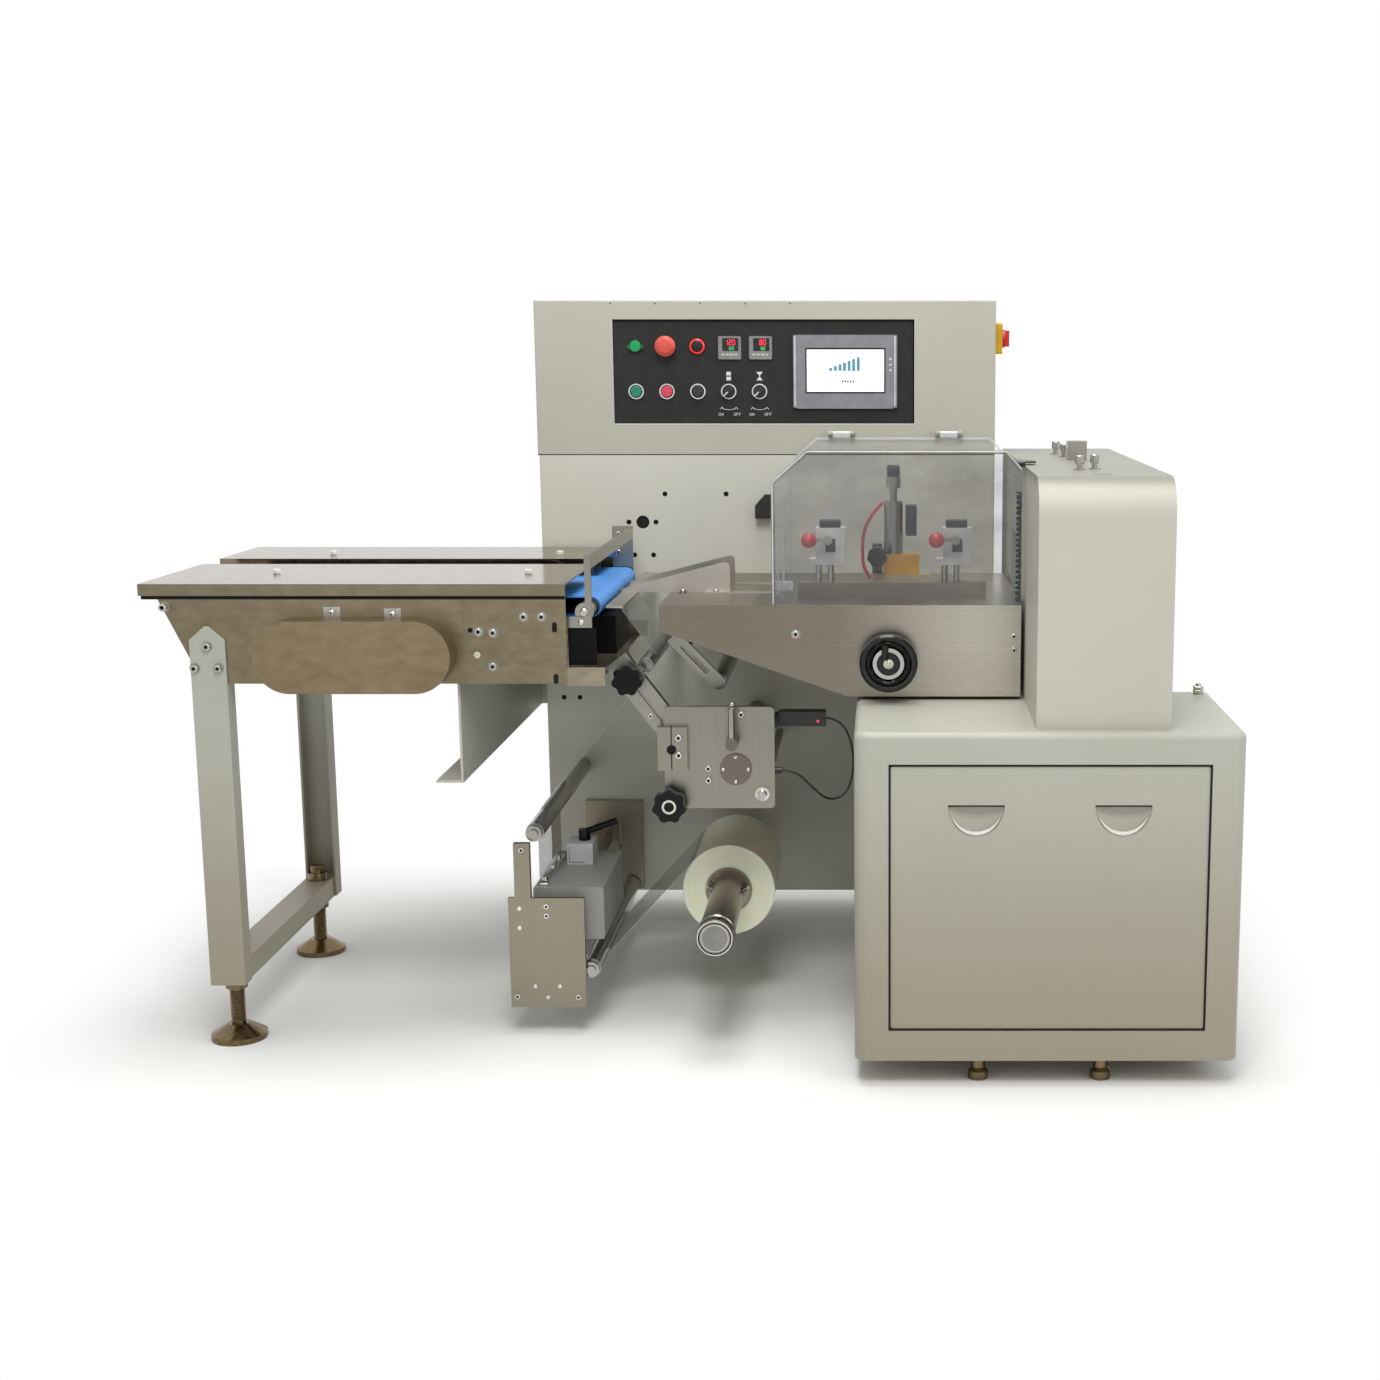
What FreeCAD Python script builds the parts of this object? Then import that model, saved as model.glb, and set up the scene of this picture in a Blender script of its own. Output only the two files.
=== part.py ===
import FreeCAD, Part
import math
import os
import re
import Sketcher
from FreeCAD import Rotation, Vector

# A horizontal flow wrapper: a bench-height machine that folds film from a reel below into a tube
# round products, seals it along its length and cuts it into bags. +X runs with the product, the
# operator stands at -Y, +Z is up, and the origin is on the floor under the middle of the machine.

doc = FreeCAD.newDocument("flow_wrapper")

# ---- Driving dimensions, in millimetres ---------------------------------------------------------

SIZES = {
    # whole machine
    "machine_length": 1830, "machine_depth": 1090, "machine_height": 1293,
    "sheet": 3, "seat_gap": 0.3, "running_gap": 7, "datum_from_right": 915,
    # rear cabinet and control box
    "cabinet_length": 905, "cabinet_depth": 258, "cabinet_right_inset": 362, "cabinet_clearance": 97,
    "box_height": 302, "box_overhang": 3, "box_seam": 2,
    "tapping_radius": 5, "tapping_depth": 6, "port_radius": 13,
    # black control panel let into the control box
    "recess_length": 594, "recess_height": 203, "recess_depth": 10, "recess_left": 154,
    "recess_top_margin": 37, "panel_plate": 4,
    "bezel_radius": 14.5, "bezel_height": 4, "bezel_bore": 11.3, "cap_radius": 11, "cap_proud": 3,
    "button_travel": 3, "mushroom_radius": 20, "mushroom_height": 12, "mushroom_lift": 18, "stop_collar": 8,
    "stop_travel": 5, "row_height": 88, "top_row_drop": 52, "first_button": 44, "button_pitch": 61,
    "selector_bar": 24, "selector_width": 7, "selector_height": 9,
    "controller_side": 45, "controller_proud": 6, "controller_corner": 3,
    "screen_length": 205, "screen_height": 142, "screen_proud": 10, "screen_right_margin": 34,
    "screen_low_margin": 31, "glass_length": 158, "glass_height": 89, "glass_sink": 2,
    # main switch on the side of the control box
    "switch_plate": 61, "switch_body": 18, "switch_setback": 113, "switch_drop": 43,
    "grip_radius": 18, "grip_height": 6, "grip_bar": 32, "grip_width": 10, "grip_lift": 9,
    # base cabinet with its lift-off front panel
    "base_length": 630, "base_depth": 375, "base_clearance": 45, "base_height": 549,
    "base_corner": 24, "base_top_corner": 12, "cover_side_margin": 59, "cover_end_margin": 55,
    "cover_gap": 3.5, "cover_plate": 18, "cover_inset": 2, "cover_corner": 4,
    "pull_width": 92, "pull_drop": 50, "pull_depth": 15, "pull_below": 65, "pull_spacing": 237,
    "frame_gap": 15,
    # levelling feet
    "foot_radius": 17, "foot_inset": 44, "pad_radius": 48, "pad_height": 20, "screw_radius": 12,
    "nut_radius": 19, "nut_height": 16, "pad_cone": 8, "rear_foot_inset": 45,
    # end-seal housing and what turns in it
    "jaw_length": 217, "jaw_inset": 120, "jaw_setback": 25, "jaw_depth": 950, "jaw_height": 403,
    "jaw_corner": 62, "mouth_width": 260, "mouth_height": 150, "mouth_below_line": 48,
    "jaw_bar_width": 38, "jaw_bar_length": 200, "jaw_shaft": 20, "jaw_wall": 12, "jaw_reach": 66,
    "jaw_room": 480, "jaw_face_gap": 1, "journal_radius": 14, "journal_length": 18, "sweep_gap": 10,
    # sealing bed
    "bed_length": 628, "bed_height": 160, "bed_width": 498, "bed_nose": 45, "bed_flat": 301,
    "bed_plate": 8,
    "wheel_right": 230, "wheel_drop": 95, "wheel_radius": 50, "wheel_width": 22, "wheel_collar": 28,
    "crank_radius": 6, "crank_length": 26,
    # film former
    "former_width": 118, "former_length": 199, "former_height": 58, "former_nose": 6,
    "former_sheet": 2, "former_flange": 16, "former_flange_length": 122,
    "lip_width": 30, "lip_span": 520, "lip_drop": 3,
    # infeed conveyor
    "infeed_end": 201, "infeed_top": 810, "infeed_front_reach": 356, "infeed_back_reach": 270,
    "slot_width": 92, "lip_height": 20, "side_height": 167, "side_inset": 6, "side_back_inset": 35, "side_slope": 80,
    "side_end": 19, "seam_depth": 1, 
    "tie_radius": 8, "sprocket_radius": 32, "chain_height": 10, "chain_width": 14, "chain_drop": 6,
    "sprocket_inset": 105,
    "cover_length": 329, "cover_radius": 61, "cover_depth": 50, "cover_from_left": 199,
    "cover_centre_drop": 118,
    # infeed leg
    "leg_width": 60, "leg_depth": 36, "leg_sheet": 4, "leg_from_left": 80, "leg_bottom": 109,
    "beam_height": 40, "tab_point": 26, "leg_foot_inset": 42, "screw_rise": 14,
    # bracket that ties the infeed to the rear cabinet
    "bracket_height": 176, "bracket_flange": 47, "bracket_standoff": 36, "bracket_reach": 617,
    "bracket_overlap": 143,
    # transfer belt between infeed and bed
    "belt_drop": 33, "nose_radius": 16, "belt_thickness": 2, "belt_reach": 46, "belt_loop": 70,
    "belt_front": 260, "belt_back": 200,
    "drive_box_length": 165, "axle_radius": 6,
    "arch_front": 333, "arch_back": 214, "arch_top": 47, "arch_band": 5,
    "arch_from_infeed": 30, "tray_height": 32, "tray_reach": 64, "tray_floor": 48, "tray_drop": 4,
    # film carriage below the bed
    "carriage_x_set": -51, "carriage_length": 193, "carriage_height": 181, "carriage_bottom": 403,
    "carriage_plate": 12, "carriage_behind_bed": 1, "carriage_corner": 8,
    "clamp_width": 52, "clamp_height": 77, "clamp_depth": 13, "clamp_overhang": 10,
    "clamp_top_drop": 34, "slit": 2, "disc_radius": 28, "disc_depth": 4,
    "disc_right": 125, "disc_rise": 70, "shaft_radius": 11, "stud_radius": 8, "stud_right": 171,
    "stud_rise": 26, "stud_length": 22, "lever_right": 121, "lever_radius": 6, "lever_drop": 62,
    "lever_reach": 42, "lever_rise": 8,
    "arm_length": 190, "arm_width": 46, "arm_thickness": 18, "arm_tilt": 53, "arm_end_x_set": -134,
    "arm_end_z": 664, "arm_slot": 7, "arm_slot_length": 96,
    "link_length": 120, "link_width": 26, "link_thickness": 9, "link_tilt": 46, "link_end_x_set": -45,
    "link_end_z": 692, "link_slot": 9, "link_slot_length": 66,
    # film rollers, reel and web
    "line_y": 0, "film_width": 236, "film_thickness": 0.6, "film_gap": 0.35,
    "upper_x_set": -280, "upper_z": 362, "lower_x_set": -185, "lower_z": 115, "guide_radius": 16,
    "guide_front": 290, "guide_stub": 6, "collar_length": 14, "collar_step": 2,
    "arm_roller_x_set": -86, "arm_roller_z": 650, "arm_roller_radius": 13,
    "link_roller_x_set": 34, "link_roller_z": 606, "link_roller_radius": 15,
    "reel_x_set": 49, "reel_z": 222, "roll_radius": 84, "core_radius": 38, "reel_tube": 30,
    "reel_end": 444, "reel_cap": 32, "reel_cap_length": 44, "reel_groove": 3, "flange_radius": 80,
    "flange_thickness": 5,
    # knobs
    "knob_lobe": 8, "knob_circle": 19, "knob_height": 20, "knob_stem": 8, "knob_standoff": 18,
    "arm_knob_x_set": -110, "arm_knob_z": 634, "low_knob_x_set": -40, "low_knob_z": 414,
    "low_knob_scale": 3,
    # film sensor
    "sensor_left_set": 146, "sensor_length": 84, "sensor_height": 26, "sensor_depth": 30,
    "sensor_z": 553, "sensor_y": -214, "sensor_arm": 16, "cable_radius": 2, "gland_radius": 6,
    "gland_length": 12, "gland_z": 470,
    # date coder below the infeed
    "coder_left_set": -325, "coder_plate_length": 133, "coder_plate_height": 199, "coder_bottom": 52,
    "coder_front": 303, "coder_plate": 10, "coder_post_left": 12, "coder_post_width": 28,
    "coder_post_height": 98, "coder_post_depth": 14, "coder_body_left_set": -286, "coder_body_length": 124,
    "coder_body_height": 95, "coder_body_bottom": 167, "coder_body_gap": 22, "coder_body_depth": 250,
    "coder_rail": 36, "coder_mount_length": 117, "coder_mount_top": 289,
    "coder_mount_bottom": 104, "coder_mount_left_set": -278, "coder_mount_plate": 10, "slot_radius": 4,
    "slot_length": 44, "block_length": 47, "block_height": 40, "block_depth": 60,
    "lever_hub_radius": 11, "lever_hub_height": 20, "handle_radius": 6,
    "handle_length": 66, "handle_tilt": 20,
    # sealing station under the guard
    "station_left_set": 178, "station_right_set": 517, "upright_depth": 40,
    "rail_height": 22,
    "bracket_left_x_set": 199, "bracket_right_x_set": 427, "block_wide": 64, "block_tall": 56,
    "post_radius": 6, "post_spacing": 22,
    "column_x_set": 350, "column_radius": 17,
    "column_height": 95, "column_rod": 7, "column_rod_length": 24, "ball_radius": 14,
    "ball_arm": 4,
    "yellow_left_set": 332, "yellow_length": 65, "yellow_height": 36,
    "station_front": 85,
    # clear guard
    "guard_left_set": 139, "guard_height": 267, "guard_sheet": 5, "guard_bevel_left": 60,
    "guard_bevel_right": 28, "guard_bevel_drop": 54, "guard_right_drop": 32, "guard_back_gap": 7,
    "passage_width": 180, "passage_height": 110,
    "fold_radius": 3, "port_from_left": 203, "port_rise": 761, "lamp_radius": 12, "lamp_height": 12,
    "glass_margin": 24, "glass_low": 28, "controller_shift": 3, "controller_drop": 3,
    "frame_from_left": 357, "foot_collar": 14, "base_foot_inset": 205, "base_foot_spacing": 204,
    "leg_back_foot_inset": 58, "top_slot_length": 22, "top_slot_radius": 6, "top_slot_inset": 81,
    "top_post_height": 24, "top_post_neck": 10, "top_block": 35, "wheel_collar_radius": 30, "crank_inset": 8,
    "bevel_rise": 7, "hinge_setback": 15, "hinge_rise": 7, "hinge_inset": 110, "knuckle_length": 34,
    "knuckle_radius": 6, "pin_radius": 3, "lug_gap": 1, "lug_thickness": 8, "interlock_x_set": 77,
    "interlock_z": 867, "interlock_width": 32, "interlock_height": 47, "interlock_depth": 25,
    "guide_journal": 8, "post_height": 33, "ledge_height": 10, "block_inset": 12, "post_from_left": 16,
    "plinth_height": 15, "plinth_margin": 20, "knob_bracket_top": 850, "small_knob": 18,
    "small_knob_x_set": 321, "small_knob_z": 832, "small_knob_stem": 12, "pivot_radius": 8, "pivot_length": 20, "lever_arm": 34,
    "lever_rise": 36, "hose_radius": 3, "tie_rise": 24, "leg_shoulder": 75, "tab_round": 8,
    "drive_box_front": -205, "arch_foot": 746, "arch_width": 11,
    "photocell_width": 22, "photocell_height": 26, "photocell_depth": 14, "photocell_drop": 14,
    "arch_bar": 24, "arch_sheet": 3, "arch_back_leg": 40, "arch_foot_height": 19, "skirt_top": 733, "former_round": 10,
    "former_flange_left_set": 6, "lip_left_set": -147, "arm_slot_start": 60, "arm_slot_depth": 6,
    "link_y": -155, "link_slot_start": 24, "link_rod_x_set": -24, "link_rod_z": 670, "film_reach": 149,
    "coder_rail_left_set": -262, "block_back": 40,
}

sheet = doc.addObject("Spreadsheet::Sheet", "Sizes")
for row, (alias, size) in enumerate(SIZES.items(), start=1):
    sheet.set(f"A{row}", alias)
    sheet.set(f"B{row}", str(size))
    sheet.setAlias(f"B{row}", alias)
doc.recompute()

# Places that more than one piece shares, worked out from the driving dimensions.
PLACES = {
    "left_end": "-machine_length / 2", "right_end": "machine_length / 2",
    "datum_x": "right_end - datum_from_right",
    "front_end": "-machine_depth / 2", "back_end": "machine_depth / 2",
    "cabinet_right": "right_end - cabinet_right_inset", "cabinet_left": "cabinet_right - cabinet_length",
    "cabinet_front": "back_end - cabinet_depth", "box_bottom": "machine_height - box_height",
    "box_left": "cabinet_left - box_overhang",
    "recess_x": "box_left + recess_left", "recess_z": "machine_height - recess_top_margin - recess_height",
    "recess_floor": "cabinet_front + recess_depth", "panel_front": "recess_floor - panel_plate",
    "top_row": "recess_z + recess_height - top_row_drop", "low_row": "top_row - row_height",
    "base_left": "right_end - base_length", "base_top": "base_clearance + base_height",
    "base_back": "front_end + base_depth",
    "cover_left": "base_left + cover_side_margin", "cover_right": "right_end - cover_side_margin",
    "cover_bottom": "base_clearance + cover_end_margin", "cover_top": "base_top - cover_end_margin",
    "cover_front": "front_end + cover_inset",
    "jaw_right": "right_end - jaw_inset", "jaw_left": "jaw_right - jaw_length",
    "jaw_front": "front_end + jaw_setback", "jaw_back": "jaw_front + jaw_depth",
    "jaw_top": "base_top + jaw_height", "jaw_middle": "(jaw_left + jaw_right) / 2",
    "bed_right": "jaw_left - running_gap", "bed_left": "bed_right - bed_length",
    "bed_top": "base_top + 6 + bed_height", "bed_bottom": "bed_top - bed_height",
    "bed_front": "line_y - bed_width / 2", "bed_back": "line_y + bed_width / 2",
    "mouth_bottom": "bed_top - mouth_below_line", "mouth_top": "mouth_bottom + mouth_height",
    "mouth_middle": "(mouth_bottom + mouth_top) / 2",
    "wheel_x": "bed_right - wheel_right", "wheel_z": "bed_top - wheel_drop",
    "wheel_back": "bed_front - wheel_collar", "wheel_front": "wheel_back - wheel_width",
    "infeed_right": "datum_x - infeed_end", "infeed_length": "infeed_right - left_end", "infeed_front": "line_y - infeed_front_reach",
    "infeed_back": "line_y + infeed_back_reach",
    "side_top": "infeed_top - sheet", "side_bottom": "side_top - side_height",
    "side_front": "infeed_front + side_inset", "side_back": "infeed_back - side_back_inset",
    "leg_left": "left_end + leg_from_left", "leg_right": "leg_left + leg_width",
    "leg_middle": "leg_left + leg_width / 2", "leg_front": "side_front - leg_sheet",
    "leg_back": "side_back + leg_sheet", "beam_top": "leg_bottom + beam_height",
    "bracket_right": "cabinet_left - bracket_standoff", "bracket_bottom": "side_bottom - bracket_height",
    "bracket_front": "cabinet_front - bracket_reach", "bracket_back": "cabinet_front + bracket_overlap",
    "belt_top": "infeed_top - belt_drop", "nose_z": "belt_top - belt_thickness - nose_radius",
    "nose_x": "infeed_right + belt_reach - belt_thickness - nose_radius",
    "tail_x": "nose_x - belt_loop",
    "drive_box_top": "nose_z - nose_radius - belt_thickness - 4",
   
    "arch_x": "infeed_right + arch_from_infeed", "arch_crown": "infeed_top + arch_top",
    "carriage_back": "bed_front - carriage_behind_bed", "carriage_front": "carriage_back - carriage_plate",
    "carriage_top": "carriage_bottom + carriage_height",
   
    "coder_y": "-coder_front", "coder_body_y": "coder_y + coder_plate + coder_body_gap",
    "coder_body_top": "coder_body_bottom + coder_body_height",
    "coder_mount_y": "cabinet_front - coder_mount_plate",
    "station_y": "line_y - station_front",
    "guard_bottom": "bed_top + seat_gap", "guard_top": "bed_top + guard_height",
    "guard_right": "bed_right", "guard_back": "cabinet_front - guard_back_gap",
}

# The film line and the guard are set out along X from one datum at the middle of the product line:
# each size named ..._set is the distance of that place from it.
for setting in [name for name in SIZES if name.endswith("_set")]:
    PLACES[setting.removesuffix("_set")] = f"datum_x + {setting}"


def formula(text):
    """Writes a formula of plain names out in full, so that the spreadsheet's cells drive it."""
    def spell(match):
        word = match.group(0)
        if word in PLACES:
            return "(" + formula(PLACES[word]) + ")"
        return "Sizes." + word if word in SIZES else word
    return re.sub(r"[a-z_]+", spell, str(text))


def value(text):
    """The number that a formula comes to, for starting positions and for computed shapes."""
    return float(sheet.evalExpression(formula(text)))


def bind(thing, path, text):
    thing.setExpression(path, formula(text))


ALONG = {"X": Rotation(Vector(0, 1, 0), 90), "Y": Rotation(Vector(1, 0, 0), -90), "Z": Rotation()}


def place(thing, at, turn=None):
    """Puts a piece at three formulas, turned by a fixed rotation."""
    if turn is not None:
        thing.Placement.Rotation = turn
    for axis, text in zip("xyz", at):
        bind(thing, "Placement.Base." + axis, text)
    return thing


def block(label, x, y, z):
    """A rectangular block between pairs of formulas."""
    solid = doc.addObject("Part::Box", label)
    solid.Label = label
    for side, (low, high) in zip(("Length", "Width", "Height"), (x, y, z)):
        bind(solid, side, f"({high}) - ({low})")
    return place(solid, (x[0], y[0], z[0]))


def rod(label, radius, at, length, along="Y"):
    """A round bar that starts at a point and runs along an axis."""
    solid = doc.addObject("Part::Cylinder", label)
    solid.Label = label
    bind(solid, "Radius", radius)
    bind(solid, "Height", length)
    return place(solid, at, ALONG[along])


def fuse(label, *pieces):
    solid = doc.addObject("Part::MultiFuse", label)
    solid.Label = label
    solid.Shapes = list(pieces)
    solid.Refine = True
    return solid


def gather(label, *pieces):
    """Like pieces that don't touch, kept as separate solids under one name."""
    group = doc.addObject("Part::Compound", label)
    group.Label = label
    group.Links = list(pieces)
    return group


def cut(label, base, *tools):
    solid = doc.addObject("Part::Cut", label)
    solid.Label = label
    solid.Base = base
    solid.Tool = tools[0] if len(tools) == 1 else fuse(label + "_tools", *tools)
    solid.Refine = True
    return solid


def rounded(label, base, radius, keep):
    """Rounds the edges of a piece for which keep(middle, direction) is true."""
    doc.recompute()
    numbers = []
    for number, edge in enumerate(base.Shape.Edges, start=1):
        if isinstance(edge.Curve, Part.Line) and keep(edge.CenterOfMass, edge.Curve.Direction):
            numbers.append(number)
    solid = doc.addObject("Part::Fillet", label)
    solid.Label = label
    solid.Base = base
    solid.Edges = [(number, value(radius), value(radius)) for number in numbers]
    return solid


def sketch_on(body, plane, name):
    sketch = body.newObject("Sketcher::SketchObject", name)
    origin_plane = [part for part in body.Origin.OriginFeatures if part.Role == plane + "_Plane"][0]
    sketch.AttachmentSupport = [(origin_plane, "")]
    sketch.MapMode = "FlatFace"
    return sketch


def pin_point(sketch, shape, end, spot):
    """Ties a point of a sketch to a pair of formulas."""
    for kind, text in zip(("DistanceX", "DistanceY"), spot):
        rule = sketch.addConstraint(Sketcher.Constraint(kind, -1, 1, shape, end, value(text)))
        bind(sketch, f"Constraints[{rule}]", text)


def draw_outline(sketch, corners):
    spots = [Vector(value(a), value(b), 0) for a, b in corners]
    first = sketch.GeometryCount
    for start, end in zip(spots, spots[1:] + spots[:1]):
        sketch.addGeometry(Part.LineSegment(start, end), False)
    for number, corner in enumerate(corners):
        after = first + (number + 1) % len(corners)
        sketch.addConstraint(Sketcher.Constraint("Coincident", first + number, 2, after, 1))
        pin_point(sketch, first + number, 1, corner)


def draw_circle(sketch, radius, spot):
    middle = Vector(value(spot[0]), value(spot[1]), 0)
    circle = sketch.addGeometry(Part.Circle(middle, Vector(0, 0, 1), value(radius)), False)
    rule = sketch.addConstraint(Sketcher.Constraint("Radius", circle, value(radius)))
    bind(sketch, f"Constraints[{rule}]", radius)
    pin_point(sketch, circle, 3, spot)


NORMAL = {"XY": "z", "XZ": "y", "YZ": "x"}


def plate(label, plane, corners, span, rounds=(), holes=()):
    """An outline in a plane, padded from the first to the second formula of span. rounds holds
    (radius, corner numbers), and holes holds (radius, spot)."""
    body = doc.addObject("PartDesign::Body", label)
    body.Label = label
    sketch = sketch_on(body, plane, label + "_outline")
    draw_outline(sketch, corners)
    for radius, spot in holes:
        draw_circle(sketch, radius, spot)
    pad = body.newObject("PartDesign::Pad", label + "_pad")
    pad.Profile = sketch
    bind(pad, "Length", f"({span[1]}) - ({span[0]})")
    pad.Reversed = plane == "XZ"
    sketch.Visibility = False
    for radius, numbers in rounds:
        doc.recompute()
        spots = [tuple(value(text) for text in corners[number]) for number in numbers]
        names = []
        for number, edge in enumerate(body.Tip.Shape.Edges, start=1):
            ends = {tuple(round(getattr(v.Point, a), 3) for a in plane.lower()) for v in edge.Vertexes}
            if len(ends) == 1 and any(math.dist(spot, min(ends)) < 0.01 for spot in spots):
                names.append(f"Edge{number}")
        before = body.Tip
        fillet = body.newObject("PartDesign::Fillet", label + "_round")
        fillet.Base = (before, names)
        bind(fillet, "Radius", radius)
    bind(body, "Placement.Base." + NORMAL[plane], span[0])
    return body


def turned(label, outline, at, along="Y"):
    """A piece turned on a lathe: its outline is (radius, distance along the axis)."""
    body = doc.addObject("PartDesign::Body", label)
    body.Label = label
    sketch = sketch_on(body, "XZ", label + "_outline")
    draw_outline(sketch, outline)
    spin = body.newObject("PartDesign::Revolution", label + "_spin")
    spin.Profile = sketch
    spin.ReferenceAxis = (sketch, ["V_Axis"])
    spin.Angle = 360
    return place(body, at, ALONG[along])


def obround(label, first, last, radius, span):
    """A bar with round ends between two (x, z) points at one height, running from span[0] to
    span[1] across the machine."""
    length = f"({span[1]}) - ({span[0]})"
    ends = [rod(f"{label}_end", radius, (x, span[0], z), length) for x, z in (first, last)]
    middle = block(label + "_middle", (first[0], last[0]), span,
                   (f"({first[1]}) - ({radius})", f"({first[1]}) + ({radius})"))
    return fuse(label, middle, *ends)


def slanted(label, length, width, thickness, tilt, at, holes=()):
    """A flat bar across the XZ plane: it starts at a point on its centre line and falls by tilt
    degrees toward +X. holes are tools drawn in the bar's own frame."""
    bar = block(label + "_bar", ("0", length), ("0", thickness), (f"-({width}) / 2", f"({width}) / 2"))
    piece = cut(label, bar, *holes)
    return place(piece, at, Rotation(Vector(0, 1, 0), value(tilt)))


def star_knob(label, radius, at, stem):
    """A seven-lobed clamping knob on a stem; at is the middle of its front face."""
    core = rod(label + "_core", f"({radius}) - knob_lobe / 2", ("0", "0", "0"), "knob_height")
    pieces = [core, rod(label + "_stem", "knob_stem", ("0", "knob_height", "0"), stem)]
    for number in range(7):
        turn = math.radians(90 + number * 360 / 7)
        spot = (f"{math.cos(turn):.6f} * (({radius}) - knob_lobe)", "0",
                f"{math.sin(turn):.6f} * (({radius}) - knob_lobe)")
        pieces.append(rod(label + "_lobe", "knob_lobe", spot, "knob_height"))
    return place(fuse(label, *pieces), at)


def guide_roller(label, radius, at, length):
    """A film roller with a stepped end collar in front and a thin journal behind."""
    step = f"({radius}) - collar_step"
    return turned(label, [
        ("0", "0"), ("guide_journal", "0"), ("guide_journal", "guide_stub"), (step, "guide_stub"),
        (step, "guide_stub + collar_length"), (radius, "guide_stub + collar_length"),
        (radius, f"({length}) - guide_stub"), ("guide_journal", f"({length}) - guide_stub"),
        ("guide_journal", length), ("0", length)], at)


def cord(label, radius, spots):
    """A round cord through points: straight runs joined by tangent arcs."""
    points = [Vector(*(value(text) for text in spot)) for spot in spots]
    edges, start, bends = [], points[0], []
    for before, corner, after in zip(points, points[1:], points[2:]):
        arriving, leaving = (corner - before), (after - corner)
        turn = arriving.getAngle(leaving)
        trim = 0.45 * min(arriving.Length, leaving.Length)
        bends.append(trim / math.tan(turn / 2))
        first = corner - arriving.normalize() * trim
        last = corner + leaving.normalize() * trim
        bulge = (arriving - leaving).normalize() * bends[-1] * (1 / math.cos(turn / 2) - 1)
        edges.append(Part.LineSegment(start, first).toShape())
        edges.append(Part.Arc(first, corner - bulge, last).toShape())
        start = last
    edges.append(Part.LineSegment(start, points[-1]).toShape())
    path = Part.Wire(edges)
    ring = Part.Wire(Part.makeCircle(value(radius), points[0], points[1] - points[0]))
    solid = doc.addObject("Part::Feature", label)
    solid.Label = label
    solid.Shape = path.makePipeShell([ring], True, True)
    section = math.pi * value(radius) ** 2
    print(f"{label}: bend radii {min(bends):.1f} to {max(bends):.1f} mm, "
          f"volume {solid.Shape.Volume / (section * path.Length):.4f} of section by length")
    return solid


parts = []

# ---- Rear cabinet: the sheet-metal back of the machine, with tapped holes in its front ----------

TAPPED = ((248, 817), (370, 817), (175, 761), (229, 761), (185, 695), (223, 695), (35, 405), (67, 405))
shell = rounded("cabinet_shell", block("cabinet_sheet", ("cabinet_left", "cabinet_right"),
                                       ("cabinet_front", "back_end"), ("cabinet_clearance", "box_bottom")),
                "fold_radius", lambda middle, way: abs(way.z) > 0.9)
bores = [rod("tapping", "tapping_radius", (f"cabinet_left + {x}", "cabinet_front", f"cabinet_clearance + {z}"),
             "tapping_depth") for x, z in TAPPED]
bores.append(rod("cable_port", "port_radius", ("cabinet_left + port_from_left", "cabinet_front",
                                               "cabinet_clearance + port_rise"), "tapping_depth"))
parts.append(cut("rear_cabinet", shell, *bores))

# ---- Control box on top of it, with a recess for the operator's panel ---------------------------

shell = rounded("box_shell", block("box_sheet", ("box_left", "cabinet_right"), ("cabinet_front", "back_end"),
                                   ("box_bottom", "machine_height")),
                "fold_radius", lambda middle, way: middle.z > value("box_bottom") + 1)
recess = block("panel_recess", ("recess_x", "recess_x + recess_length"), ("cabinet_front", "recess_floor"),
               ("recess_z", "recess_z + recess_height"))
seam = block("box_groove", ("box_left", "cabinet_right"), ("cabinet_front", "cabinet_front + seam_depth"),
             ("box_bottom", "box_bottom + box_seam"))
parts.append(cut("control_box", shell, recess, seam))


def button_x(column):
    return f"recess_x + first_button + {column} * button_pitch"


def bezel(column, row, height="bezel_height"):
    """A 22 mm fitting's front ring."""
    return turned("bezel", [("bezel_bore", "0"), ("bezel_radius - 1", "0"), ("bezel_radius", "1"),
                            ("bezel_radius", height), ("bezel_bore", height)],
                  (button_x(column), f"panel_front - ({height})", row))


lamp = turned("lamp_lens", [("0", "0"), ("lamp_radius - 4", "1"), ("lamp_radius - 1", "3"),
                            ("lamp_radius", "6"), ("lamp_radius", "lamp_height - 2"),
                            ("bezel_radius", "lamp_height - 2"), ("bezel_radius", "lamp_height"),
                            ("0", "lamp_height")],
              (button_x(2), "panel_front - lamp_height", "top_row"))
plate_sheet = block("panel_sheet", ("recess_x", "recess_x + recess_length"), ("panel_front", "recess_floor"),
                    ("recess_z", "recess_z + recess_height"))
parts.append(fuse("control_panel", plate_sheet, bezel(0, "top_row"), bezel(1, "top_row", "stop_collar"), lamp,
                  *[bezel(column, "low_row") for column in range(5)]))

screen_right = "recess_x + recess_length - screen_right_margin"
screen_case = block("screen_case", (f"{screen_right} - screen_length", screen_right),
                    ("panel_front - screen_proud", "panel_front"),
                    ("recess_z + screen_low_margin", "recess_z + screen_low_margin + screen_height"))
glass_left = f"{screen_right} - screen_length + glass_margin"
glass = block("glass_sinking", (glass_left, f"{glass_left} + glass_length"),
              ("panel_front - screen_proud", "panel_front - screen_proud + glass_sink"),
              ("recess_z + screen_low_margin + glass_low", "recess_z + screen_low_margin + glass_low + glass_height"))
parts.append(cut("touch_screen", rounded("screen_body", screen_case, "controller_corner",
                                         lambda middle, way: abs(way.y) > 0.9), glass))

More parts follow.
